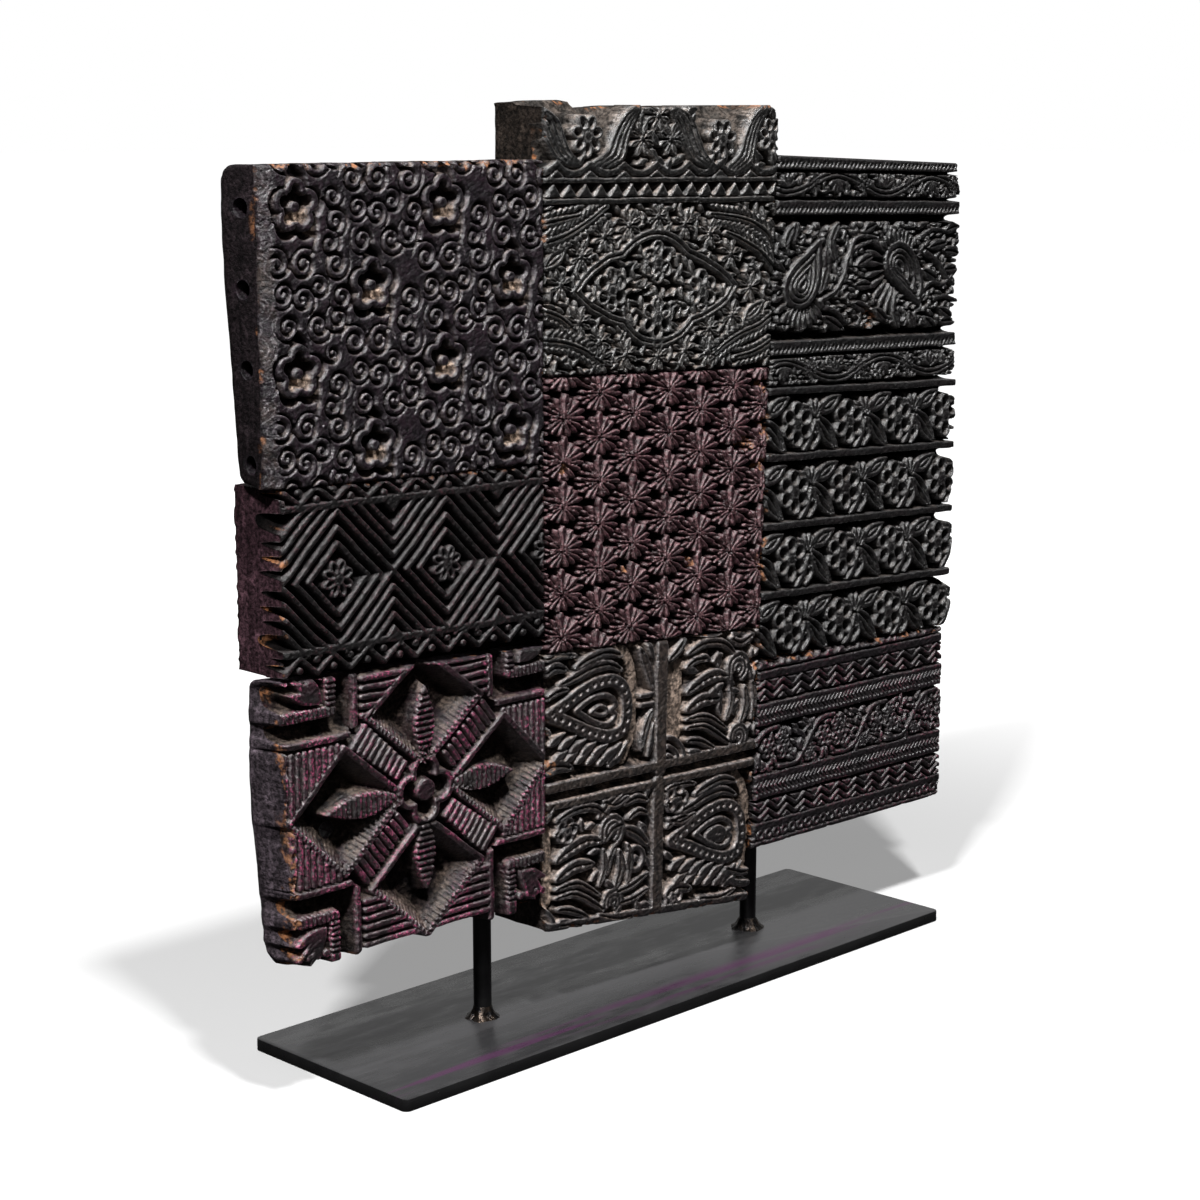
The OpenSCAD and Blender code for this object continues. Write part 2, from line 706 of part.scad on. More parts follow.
// Four tiles parted by rails: hearts in two of them, leaf sprays in the other two
tile_rail_w = 6;
tile_rail_v = 0.56;
tile_rail_foot = 0.52;
tile_rail_top = 0.54;
heart_places = [[0.3, 0.79], [0.84, 0.27]];
heart_ring_w = 3;
heart_l = 36;
heart_r = 18;
heart_core = 0.6;
flame_l = 8;
flame_w = 5;
flame_turn = 36;
flame_tilt = 20;
flame_room = 1.5;
spray_places = [[0.76, 0.78], [0.25, 0.26]];
spray_leaf_l = 24;
spray_leaf_w = 8;
spray_leaves = 5;
spray_from = -70;
spray_turn = 50;
spray_flower_step = [-14, -12];
module heart_tile(p) {
    translate(p) {
        drop_ring(heart_l, heart_r, 180, heart_ring_w);
        drop_ring(heart_l * heart_core, heart_r * heart_core, 180, heart_ring_w);
        for (k = [-2 : 2]) rotate(flame_turn * k)
            translate([heart_r + flame_room, 0]) leaf(flame_l, flame_w, flame_tilt);
    }
}
module spray_tile(p) {
    translate(p) {
        for (k = [0 : spray_leaves - 1]) leaf(spray_leaf_l, spray_leaf_w, spray_from + spray_turn * k);
        translate(spray_flower_step) petals(rosette_r, sprig_petals);
    }
}
module heart_block() {
    color(DUSTY) difference() {
        union() {
            slab(heart, heart_t);
            relief() intersection() {
                polygon(heart);
                union() {
                    rail(heart, tile_rail_v, tile_rail_w);
                    ridge(at(heart, tile_rail_foot, 0), at(heart, tile_rail_top, 1), tile_rail_w);
                    for (p = heart_places) heart_tile(at(heart, p[0], p[1]));
                    for (p = spray_places) spray_tile(at(heart, p[0], p[1]));
                }
            }
        }
        tie_pilots(tie_holes(CENTRE_TIE_LOWER, -1), heart_t);
    }
}

// Right column

// Beaded rails, two narrow vines and a wide band of paisleys
beaded_rails = [0.96, 0.76, 0.16];
beaded_rail_w = 5;
vine_bands = [0.86, 0.07];
vine_rise = 0.035;
vine_w = 2.4;
vine_flowers = 7;
vine_flower_r = 4;
vine_flower_rise = 0.025;
vine_waves = 3.5;
vine_steps = 42;
// Each paisley: its place and the angle that its tip points along
paisleys = [[0.17, 0.43, 60], [0.68, 0.5, 300]];
paisley_r = 13.6;
paisley_l = 30;
paisley_ring_w = 2.4;
paisley_core = 0.6;
ray_l = 6;
ray_w = 3.6;
rays = 9;
ray_from = 70;
ray_turn = 27;
ray_room = 2.5;
filler_places = [for (u = [0.42, 0.47, 0.93]) for (v = [0.3, 0.46, 0.62]) [u, v]];
filler_l = 11;
filler_w = 5;
filler_tilt = 35;
// A wavy stem along a band at share v of a block's height
module vine(q, v, rise, w) {
    ridge_line([for (i = [0 : vine_steps])
        at(q, i / vine_steps, v + rise * sin(360 * vine_waves * i / vine_steps))], w);
}
// Small flowers in the bends of a vine
module vine_blooms(q, v, rise, r) {
    for (i = [0 : vine_flowers - 1])
        translate(at(q, (i + 0.5) / vine_flowers, v + (i % 2 == 0 ? -rise : rise))) petals(r, sprig_petals);
}
module paisley_motif(p, a) {
    translate(p) {
        drop_ring(paisley_l, paisley_r, a, paisley_ring_w);
        drop_ring(paisley_l * paisley_core, paisley_r * paisley_core, a, paisley_ring_w);
        for (k = [0 : rays - 1]) rotate(a + ray_from + ray_turn * k)
            translate([paisley_r + ray_room, 0]) leaf(ray_l, ray_w, 0);
    }
}
module paisley_block() {
    color(BLACK) difference() {
        union() {
            slab(paisley, paisley_t);
            relief() intersection() {
                polygon(paisley);
                union() {
                    for (v = beaded_rails) rail(paisley, v, beaded_rail_w);
                    for (v = vine_bands) {
                        vine(paisley, v, vine_rise, vine_w);
                        vine_blooms(paisley, v, vine_flower_rise, vine_flower_r);
                    }
                    for (p = paisleys) paisley_motif(at(paisley, p[0], p[1]), p[2]);
                    for (p = filler_places)
                        translate(at(paisley, p[0], p[1])) leaf(filler_l, filler_w, filler_tilt);
                }
            }
        }
        tie_pilots(concat(tie_holes(TOP_TIE_RIGHT, 1), tie_holes(RIGHT_TIE_UPPER, 1)), paisley_t);
    }
}

// Rows of eight-petalled flowers with leaves, each row under a plain rail
flower_rows = 4;
flowers_a_row = 4;
row_rail_v = 0.975;
row_rail_w = 3;
row_flower_place = [0.62, 0.42];
row_flower_r = 10;
row_flower_petals = 8;
row_flower_notch = 0.22;
row_leaf_l = 14;
row_leaf_w = 6;
// Each leaf of a flower: its height in the row and the angle that it points along
row_leaves = [[0.66, 20], [0.52, -50]];
row_leaf_u = row_flower_place[0] - 0.5;
module flower_row_block() {
    color(BLACK) difference() {
        union() {
            slab(flower, flower_t);
            relief() intersection() {
                polygon(flower);
                for (j = [0 : flower_rows - 1]) {
                    rail(flower, (j + row_rail_v) / flower_rows, row_rail_w);
                    for (i = [0 : flowers_a_row - 1]) {
                        translate(at(flower, (i + row_flower_place[0]) / flowers_a_row,
                            (j + row_flower_place[1]) / flower_rows))
                            petals(row_flower_r, row_flower_petals, row_flower_notch);
                        for (l = row_leaves)
                            translate(at(flower, (i + row_leaf_u) / flowers_a_row, (j + l[0]) / flower_rows))
                                leaf(row_leaf_l, row_leaf_w, l[1]);
                    }
                }
            }
        }
        translate([rod_x, 0, right_rod_top - rod_socket - rod_d])
            cylinder(d = rod_d + 2 * rod_fit, h = rod_socket + rod_d + rod_fit);
        tie_pilots(concat(tie_holes(MIDDLE_TIE_RIGHT, 1), tie_holes(RIGHT_TIE_UPPER, -1),
            tie_holes(RIGHT_TIE_LOWER, 1)), flower_t);
    }
}

// Rails, zigzags and a vine in bands that mirror about the middle
border_rails = [0.025, 0.115, 0.29, 0.37, 0.67, 0.745, 0.92];
border_rail_w = 2.6;
border_zigzags = [[0.14, 0.2], [0.19, 0.25], [0.78, 0.84], [0.83, 0.89]];
border_teeth = 11;
border_zigzag_w = 1.8;
border_vine_v = 0.52;
border_vine_rise = 0.09;
border_vine_w = 2.6;
border_flower_rise = 0.05;
border_flower_r = 6;
bead_rows = [0.07, 0.97];
bead_d = 4.6;
beads = 22;
module border_block() {
    color(BLACK) difference() {
        union() {
            slab(border, border_t);
            relief() intersection() {
                polygon(border);
                union() {
                    for (v = border_rails) rail(border, v, border_rail_w);
                    for (z = border_zigzags) zigzag(border, z[0], z[1], border_teeth, border_zigzag_w);
                    vine(border, border_vine_v, border_vine_rise, border_vine_w);
                    vine_blooms(border, border_vine_v, border_flower_rise, border_flower_r);
                    for (v = bead_rows) for (i = [0 : beads - 1])
                        translate(at(border, (i + 0.5) / beads, v)) circle(d = bead_d);
                }
            }
        }
        translate([rod_x, 0, 0]) cylinder(d = rod_d + 2 * rod_fit, h = right_rod_top);
        tie_pilots(tie_holes(RIGHT_TIE_LOWER, -1), border_t);
        clip_pilots(border, rod_x, border_t);
    }
}

// Fixings behind the blocks

module top_tie_left() { tie(TOP_TIE_LEFT); }
module top_tie_right() { tie(TOP_TIE_RIGHT); }
module middle_tie_left() { tie(MIDDLE_TIE_LEFT); }
module middle_tie_right() { tie(MIDDLE_TIE_RIGHT); }
module left_tie_upper() { tie(LEFT_TIE_UPPER); }
module left_tie_lower() { tie(LEFT_TIE_LOWER); }
module centre_tie_upper() { tie(CENTRE_TIE_UPPER); }
module centre_tie_lower() { tie(CENTRE_TIE_LOWER); }
module right_tie_upper() { tie(RIGHT_TIE_UPPER); }
module right_tie_lower() { tie(RIGHT_TIE_LOWER); }

module tie_screws() {
    color(SCREW) for (t = TIES) for (s = tie_points) {
        p = tie_place(t, s);
        translate([p[0], back_y(s < 0 ? t[2] : t[3]) + tie_t, p[1]]) wood_screw(screw_bite + tie_t);
    }
}
module rod_clips() {
    color(STEEL) {
        for (p = clip_places(quatrefoil, -rod_x)) clip(p, quatrefoil_t);
        for (p = clip_places(border, rod_x)) clip(p, border_t);
    }
}
module clip_screws() {
    color(SCREW) {
        for (p = clip_holes(quatrefoil, -rod_x))
            translate([p[0], back_y(quatrefoil_t) + clip_t, p[1]]) wood_screw(clip_bite + clip_t);
        for (p = clip_holes(border, rod_x))
            translate([p[0], back_y(border_t) + clip_t, p[1]]) wood_screw(clip_bite + clip_t);
    }
}

base_plate();
left_rod();
right_rod();
left_weld();
right_weld();
plum_blossom_block();
chevron_block();
quatrefoil_block();
medallion_block();
fan_flower_block();
heart_block();
paisley_block();
flower_row_block();
border_block();
top_tie_left();
top_tie_right();
middle_tie_left();
middle_tie_right();
left_tie_upper();
left_tie_lower();
centre_tie_upper();
centre_tie_lower();
right_tie_upper();
right_tie_lower();
tie_screws();
rod_clips();
clip_screws();
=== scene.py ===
"""Nine carved textile printing blocks on a welded steel stand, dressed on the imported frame."""
import json
import math

import bpy
import numpy as np
from mathutils import Euler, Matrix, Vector

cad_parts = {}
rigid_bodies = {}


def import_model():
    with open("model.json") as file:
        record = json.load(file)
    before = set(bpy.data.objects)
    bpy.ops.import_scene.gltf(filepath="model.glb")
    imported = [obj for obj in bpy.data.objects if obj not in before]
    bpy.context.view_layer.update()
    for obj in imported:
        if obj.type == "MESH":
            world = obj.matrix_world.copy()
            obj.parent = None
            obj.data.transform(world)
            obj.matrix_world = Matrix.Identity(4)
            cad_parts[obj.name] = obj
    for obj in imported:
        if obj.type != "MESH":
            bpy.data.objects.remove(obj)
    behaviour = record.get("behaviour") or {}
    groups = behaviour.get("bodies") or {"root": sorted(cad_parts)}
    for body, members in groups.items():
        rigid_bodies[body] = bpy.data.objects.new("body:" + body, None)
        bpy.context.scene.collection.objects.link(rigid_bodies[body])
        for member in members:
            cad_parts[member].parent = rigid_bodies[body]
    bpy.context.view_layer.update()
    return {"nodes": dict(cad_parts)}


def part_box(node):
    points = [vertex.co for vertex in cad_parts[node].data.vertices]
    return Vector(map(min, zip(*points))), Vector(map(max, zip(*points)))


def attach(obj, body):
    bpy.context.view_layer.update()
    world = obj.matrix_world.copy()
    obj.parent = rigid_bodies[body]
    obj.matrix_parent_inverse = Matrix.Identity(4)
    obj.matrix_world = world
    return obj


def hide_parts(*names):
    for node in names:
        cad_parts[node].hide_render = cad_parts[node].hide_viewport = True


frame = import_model()

# Sizes are in millimetres in this script. Meshes are in metres.
MM = 0.001
# A depth beyond that of any shape
FAR = 60.0
# About how many faces the grid over a carved face has
BLOCK_FACES = 83000
# Carved edges sharper than this many degrees aren't shaded smooth
SMOOTH_ANGLE = 74
STRAIGHT = ((0, 0), (1, 0))
# Where the rings down a block's sides lie, as shares of the way to its back
RING_SHARES = (0.05, 0.12, 0.22, 0.35, 0.52, 0.68, 0.81, 0.92, 1.0)
# How many random values the noise has each way, and where it starts
NOISE_CELLS = 97
NOISE_START = (13.7, 29.3)
# How many sides a drill bit has, and how near to each other two points are one at a hole's rim
BIT_SIDES = 36
SAME_POINT = 0.004


# Noise and small helpers

def noise(x, z, size, seed):
    """Smooth random hills from -1 to 1, each about size across."""
    table = np.random.default_rng(seed).uniform(-1, 1, (NOISE_CELLS, NOISE_CELLS))
    gx = x / size + NOISE_START[0]
    gz = z / size + NOISE_START[1]
    ix = np.floor(gx).astype(int)
    iz = np.floor(gz).astype(int)
    fx = ease(gx - ix, 0, 1)
    fz = ease(gz - iz, 0, 1)
    left, right = ix % NOISE_CELLS, (ix + 1) % NOISE_CELLS
    under, over = iz % NOISE_CELLS, (iz + 1) % NOISE_CELLS
    low = table[under, left] * (1 - fx) + table[under, right] * fx
    high = table[over, left] * (1 - fx) + table[over, right] * fx
    return low * (1 - fz) + high * fz


def ease(value, start, end):
    """Smooth step of value from 0 at start to 1 at end."""
    t = np.clip((value - start) / (end - start), 0, 1)
    return t * t * (3 - 2 * t)


def polar(centre, radius, degrees):
    a = math.radians(degrees)
    return centre[0] + radius * math.cos(a), centre[1] + radius * math.sin(a)


def arc(centre, radius, start, end, steps=10):
    return [polar(centre, radius, start + (end - start) * i / steps) for i in range(steps + 1)]


def blur(field, cells):
    """Mean of a field over a square of cells each way, twice over."""
    for axis in (0, 1, 0, 1):
        padded = np.pad(field, [(cells, cells) if a == axis else (0, 0) for a in (0, 1)], mode="edge")
        total = np.cumsum(padded, axis=axis)
        total = np.insert(total, 0, 0, axis=axis)
        span = 2 * cells + 1
        n = field.shape[axis]
        field = (np.take(total, range(span, span + n), axis) - np.take(total, range(n), axis)) / span
    return field


# Shapes drawn on a face. Each gives the depth inside its outline, negative outside, and its box.

def path(points, width, end_width=None):
    """A stroke through points, its width one number, one at each end, or a list with one for each point."""
    points = np.array(points, float)
    widths = np.linspace(width, width if end_width is None else end_width, len(points))
    if isinstance(width, list):
        widths = np.array(width)

    def inside(x, z):
        best = np.full(x.shape, -FAR)
        for p, q, w0, w1 in zip(points[:-1], points[1:], widths[:-1], widths[1:]):
            d = q - p
            t = np.clip(((x - p[0]) * d[0] + (z - p[1]) * d[1]) / max(d @ d, 1e-9), 0, 1)
            near = np.hypot(x - p[0] - t * d[0], z - p[1] - t * d[1])
            best = np.maximum(best, (w0 + (w1 - w0) * t) / 2 - near)
        return best

    reach = max(widths) / 2
    return inside, points.min(0) - reach, points.max(0) + reach


def line(p, q, width):
    return path([p, q], width)


def disc(centre, radius):
    c = np.array(centre, float)
    return lambda x, z: radius - np.hypot(x - c[0], z - c[1]), c - radius, c + radius


def ring(centre, radius, width):
    c = np.array(centre, float)
    reach = radius + width / 2
    return lambda x, z: width / 2 - np.abs(np.hypot(x - c[0], z - c[1]) - radius), c - reach, c + reach


def turned(x, z, origin, turn):
    """How far points lie along and across a direction, seen from an origin."""
    ca, sa = math.cos(math.radians(turn)), math.sin(math.radians(turn))
    dx, dz = x - origin[0], z - origin[1]
    return dx * ca + dz * sa, dz * ca - dx * sa


def oval(centre, length, width, turn):
    """An ellipse whose length lies along turn."""
    c = np.array(centre, float)

    def inside(x, z):
        along, across = turned(x, z, c, turn)
        return (1 - np.hypot(along / (length / 2), across / (width / 2))) * min(length, width) / 2

    reach = max(length, width) / 2
    return inside, c - reach, c + reach


def leaf(foot, turn, length, width, belly=0.5):
    """A pointed leaf from its foot along turn, widest at the share belly of its length."""
    f = np.array(foot, float)
    power = math.log(0.5) / math.log(belly)

    def inside(x, z):
        along, across = turned(x, z, f, turn)
        s = np.clip(along / length, 0, 1)
        half = width / 2 * np.sin(np.pi * s ** power)
        beyond = np.maximum(np.maximum(-along, along - length), 0)
        return 0.9 * (half - np.hypot(across, beyond))

    tip = np.array(polar(f, length, turn))
    return inside, np.minimum(f, tip) - width / 2, np.maximum(f, tip) + width / 2


def lobes(centre, reach, radius, count, turn):
    """Round lobes about a centre, joined to one flower outline."""
    c = np.array(centre, float)
    middles = [polar(c, reach, turn + 360 * i / count) for i in range(count)]

    def inside(x, z):
        best = reach * 0.6 + radius * 0.5 - np.hypot(x - c[0], z - c[1])
        for m in middles:
            best = np.maximum(best, radius - np.hypot(x - m[0], z - m[1]))
        return best

    return inside, c - reach - radius, c + reach + radius


def polygon(points):
    """A convex outline, its points in order anticlockwise."""
    points = np.array(points, float)

    def inside(x, z):
        best = np.full(x.shape, FAR)
        for p, q in zip(points, np.roll(points, -1, axis=0)):
            d = (q - p) / np.hypot(*(q - p))
            best = np.minimum(best, (z - p[1]) * d[0] - (x - p[0]) * d[1])
        return best

    return inside, points.min(0), points.max(0)


# A block's carved face

class Face:
    """A grid of points over a block's face, with the wood left standing and the scored lines on it."""

    def __init__(self, node, deep, wall, blank=False, slope=0.0, level_x=0.0, seed=1,
                 lean=STRAIGHT, rise=STRAIGHT, flare=STRAIGHT, fray=STRAIGHT, corner=(0.0, 0.0)):
        low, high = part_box(node)
        # How far the left edge leans in from bottom to top, the top edge rises from left to right, the left
        # side flares toward the back and the right edge stands out at the pattern's heights, and the radius
        # of the left back corners
        self.lean, self.rise, self.flare = np.array(lean).T, np.array(rise).T, np.array(flare).T
        self.fray = np.array(fray, float).T
        self.corner = corner
        self.node = node
        self.seed = seed
        self.front = low.y / MM
        self.back = high.y / MM
        self.deep = deep
        self.wall = wall
        self.reach = 3.4 * wall + 0.8
        a, b, c, d = self.corners()
        self.fray[0] = (self.fray[0] - slope * (b[0] - level_x) - b[1]) / (c[1] - b[1])
        self.width = (np.hypot(*(b - a)) + np.hypot(*(c - d))) / 2
        self.height = (np.hypot(*(d - a)) + np.hypot(*(c - b))) / 2
        cell = math.sqrt(self.width * self.height / BLOCK_FACES)
        self.columns = round(self.width / cell)
        self.rows = round(self.height / cell)
        self.cell = cell
        u, v = np.meshgrid(np.linspace(0, 1, self.columns + 1), np.linspace(0, 1, self.rows + 1))
        self.u, self.v = u, v
        self.x = (1 - v) * ((1 - u) * a[0] + u * b[0]) + v * ((1 - u) * d[0] + u * c[0])
        self.z = (1 - v) * ((1 - u) * a[1] + u * b[1]) + v * ((1 - u) * d[1] + u * c[1])
        self.x = self.x + np.interp(v, *self.lean) * (1 - u) ** 8 + np.interp(v, *self.fray) * u ** 16
        self.z = self.z + np.interp(u, *self.rise) * v ** 8
        # The hand's wobble, and the slope at which the pattern was laid on the block
        self.px = self.wobbled(self.x, seed)
        self.pz = self.wobbled(self.z, seed + 2) + slope * (self.x - level_x)
        self.wood = np.full(self.x.shape, FAR if blank else -FAR)
        self.scored = np.full(self.x.shape, -FAR)
        self.limit = np.full(self.x.shape, FAR)
        # dusty holds settled dust, and at the plum blossoms painted light
        self.sunk, self.broken, self.dug, self.pale, self.dusty = np.zeros((5, *self.x.shape))
        self.column_low, self.column_high = self.px.min(0), self.px.max(0)
        self.row_low, self.row_high = self.pz.min(1), self.pz.max(1)

    def corners(self):
        """Bottom left, bottom right, top right and top left of the block's back."""
        points = np.array([v.co for v in frame["nodes"][self.node].data.vertices]) / MM
        points = points[points[:, 1] > self.back - 0.01][:, [0, 2]]
        picks = (points @ s for s in ([-1, -1], [1, -1], [1, 1], [-1, 1]))
        return [points[np.argmax(p)] for p in picks]

    def wobbled(self, along, seed):
        """A coordinate of the grid, moved as by an unsteady hand."""
        along = along + 0.26 * noise(self.x, self.z, 9, seed)
        return along + 0.10 * noise(self.x, self.z, 2.6, seed + 1)

    def wood_at(self, x, z):
        """How deep inside the standing wood a place of the pattern lies."""
        column = np.searchsorted(self.px[0], x).clip(0, self.columns)
        row = np.searchsorted(self.pz[:, column], z).clip(0, self.rows)
        return self.wood[row, column]

    def window(self, low, high):
        """The part of the grid that a shape between two corners can reach."""
        near = self.reach
        columns = np.flatnonzero((self.column_high > low[0] - near) & (self.column_low < high[0] + near))
        rows = np.flatnonzero((self.row_high > low[1] - near) & (self.row_low < high[1] + near))
        if not len(columns) or not len(rows):
            return None
        return np.s_[rows[0]:rows[-1] + 1, columns[0]:columns[-1] + 1]

    def each(self, shapes):
        """Each shape's part of the grid, and how deep inside the shape its points lie."""
        for inside, low, high in shapes:
            w = self.window(low, high)
            if w is not None:
                yield w, inside(self.px[w], self.pz[w])

    def keep(self, *shapes):
        """Wood left standing."""
        for w, d in self.each(shapes):
            self.wood[w] = np.maximum(self.wood[w], d)

    def cut(self, *shapes):
        """Wood taken away."""
        for w, d in self.each(shapes):
            self.wood[w] = np.minimum(self.wood[w], -d)

    def score(self, *shapes):
        """Thin lines scored into what is left."""
        for w, d in self.each(shapes):
            self.scored[w] = np.maximum(self.scored[w], d)

    def sink(self, depth, *shapes):
        """Wood lowered by a depth, with its carving."""
        for w, d in self.each(shapes):
            self.sunk[w] = np.maximum(self.sunk[w], depth * ease(d, -0.6, 0.6))

    def splinter(self, *shapes):
        """Wood broken out, its raw colour showing."""
        for w, d in self.each(shapes):
            self.broken[w] = np.maximum(self.broken[w], ease(d, -0.8, 1.2))

    def weather(self, share, *shapes):
        """Wood worn pale, high and low."""
        for w, d in self.each(shapes):
            self.pale[w] = np.maximum(self.pale[w], share * ease(d, -0.6, 0.8))

    def settle_dust_and_light(self, share, *shapes):
        """Dust settled on the ground, which at the plum blossoms also stands for a painted pool of light."""
        for w, d in self.each(shapes):
            self.dusty[w] = np.maximum(self.dusty[w], share * ease(d, -0.6, 1.0))

    def shelf(self, depth, *shapes):
        """Ground cut no deeper than a depth."""
        for w, d in self.each(shapes):
            self.limit[w] = np.where(d > 0, np.minimum(self.limit[w], depth), self.limit[w])

    def scoop(self, start, slope, *shapes):
        """Ground that runs deeper with the height above start."""
        for w, d in self.each(shapes):
            deeper = slope * np.clip(self.pz[w] - start, 0, None) * ease(d, 0, 3)
            self.dug[w] = np.maximum(self.dug[w], deeper)

    def bank(self, lip, rise, *shapes):
        """Ground that falls from a lip at a shape's edge toward its middle."""
        for w, d in self.each(shapes):
            ground = np.where(d > 0, 0.3 + rise * np.clip(d - lip, 0, None), FAR)
            self.limit[w] = np.minimum(self.limit[w], ground)


def draw_to_outlines(face):
    """Moves the points that lie next to an outline onto it, so that the crests have clean edges."""
    gz, gx = np.gradient(face.wood, face.cell)
    steep = np.maximum(np.hypot(gx, gz), 0.35)
    near = np.abs(face.wood) < 0.6 * face.cell * steep
    near[[0, -1], :] = False
    near[:, [0, -1]] = False
    move = np.where(near, np.clip(-face.wood / steep, -0.45 * face.cell, 0.45 * face.cell), 0)
    face.x = face.x + move * gx / steep
    face.z = face.z + move * gz / steep
    face.wood = np.where(near, 0, face.wood)


def carved_depth(face, chips, notch=0.0, chamfer=0.0, score_depth=1.2, gouge=0.35, wear=0.35):
    """Depth of the carving below the block's face, and how raw the wood is at chipped edges.
    chips gives how worn the left, right, bottom and top edges are, notch how much deeper the cuts run out
    left, and chamfer how wide the left edge is worn off."""
    draw_to_outlines(face)
    x, z, seed = face.x, face.z, face.seed
    fall = np.clip(-face.wood, 0, None)
    floor = 1 - np.exp(-(fall / face.wall) ** 1.15)
    depth = np.minimum(face.deep * floor, face.limit)
    floor = depth / face.deep
    depth += face.dug * ease(floor, 0.3, 0.8)
    # Dusty ground turns pale; at the plum blossoms this pale patch is painted light
    face.pale = np.maximum(face.pale, face.dusty * ease(floor, 0.2, 0.5))
    depth += gouge * floor * noise(x, z, 2.2, seed + 5) + 0.6 * gouge * floor * noise(x, z, 0.9, seed + 6)
    depth += score_depth * ease(face.scored, -0.25, 0.45) * (1 - 0.7 * floor)
    depth += face.sunk
    depth += notch * floor * np.clip(1 - face.u * face.width / 5, 0, 1) ** 1.4
    # Crests worn round at their edges and lower in places
    depth += 0.24 * (1 - ease(face.wood, 0, 0.5)) * (1 - floor)
    depth += wear * (0.5 + 0.5 * noise(x, z, 17, seed + 7)) * (1 - floor)
    depth += 0.10 * noise(x, z, 0.9, seed + 8) * (1 - floor)
    face.ground = depth.copy()
    # Edges rounded and chipped
    sides = (face.u * face.width, (1 - face.u) * face.width, face.v * face.height, (1 - face.v) * face.height)
    raw = face.broken * ease(noise(x, z, 2.6, seed + 9) + 0.6 * face.broken, -0.2, 0.5)
    depth += 1.5 * raw * (1 - floor)
    if chamfer:
        ragged = chamfer * (1 + 0.3 * noise(0 * x, z, 7, seed + 10))
        off = np.clip(1 - sides[0] / ragged, 0, 1)
        depth = np.maximum(depth * (1 - 0.7 * ease(off, 0, 0.2)), 0.6 * ragged * off)
        patches = ease(noise(x, z, 8, seed + 12) + 0.5 * noise(x, z, 2.5, seed + 13), -0.5, 0.8)
        face.pale = np.maximum(face.pale * (off == 0), 0.07 * patches * ease(off, 0.02, 0.3))
        face.ground = face.ground * (1 - ease(off, 0, 0.15))
    for i, (away, worn) in enumerate(zip(sides, chips)):
        bite = noise(x, z, 4.5, seed + 11 + i) + 0.5 * noise(x, z, 1.7, seed + 21 + i)
        reach = 0.9 + 3.4 * worn * np.clip(bite + 0.35 * worn, 0, 1.4)
        near = np.clip(1 - away / reach, 0, 1)
        depth += (1.0 + 2.6 * worn * np.clip(bite, 0, 1)) * near ** 1.6
        raw = np.maximum(raw, worn * near * ease(bite, 0.05, 0.75))
    return np.clip(depth, 0, face.back - face.front - 3), raw


def points_of(mesh):
    """The places of a mesh's points, in metres."""
    co = np.empty(len(mesh.vertices) * 3)
    mesh.vertices.foreach_get("co", co)
    return co.reshape(-1, 3)


def build_block(face, depth, raw, material, slot, round_back, side_wear=0.35):
    """Models the block: a grid over its face, carved, its rim drawn back in rings and its back closed."""
    bpy.ops.object.select_all(action="DESELECT")
    bpy.ops.mesh.primitive_grid_add(x_subdivisions=face.columns, y_subdivisions=face.rows, size=1)
    block = bpy.context.object
    block.name = "carved_" + face.node
    block.data.name = block.name
    mesh = block.data
    front_count = len(mesh.vertices)
    co = points_of(mesh)
    column = np.rint((co[:, 0] + 0.5) * face.columns).astype(int)
    row = np.rint((co[:, 1] + 0.5) * face.rows).astype(int)
    co[:, 0] = face.x[row, column]
    co[:, 1] = face.front + depth[row, column]
    co[:, 2] = face.z[row, column]
    mesh.vertices.foreach_set("co", (co * MM).ravel())
    # The rim, drawn back ring by ring
    step = (face.back - face.front) / len(RING_SHARES)
    bpy.ops.object.mode_set(mode="EDIT")
    bpy.ops.mesh.select_mode(type="EDGE")
    bpy.ops.mesh.select_all(action="DESELECT")
    bpy.ops.mesh.select_non_manifold(extend=False, use_wire=False, use_multi_face=False,
                                     use_non_contiguous=False, use_verts=False)
    for _ in range(len(RING_SHARES)):
        bpy.ops.mesh.extrude_edges_move(TRANSFORM_OT_translate={"value": (0, step * MM, 0)})
    bpy.ops.mesh.edge_face_add()
    bpy.ops.mesh.select_all(action="SELECT")
    bpy.ops.mesh.normals_make_consistent(inside=False)
    bpy.ops.object.mode_set(mode="OBJECT")
    shape_sides(face, mesh, front_count, step, side_wear, round_back)
    set_attributes(face, mesh, front_count, depth, raw, row, column)
    bpy.ops.object.shade_smooth_by_angle(angle=math.radians(SMOOTH_ANGLE))
    mesh.materials.append(material)
    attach(block, "root")
    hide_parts(face.node)
    return block


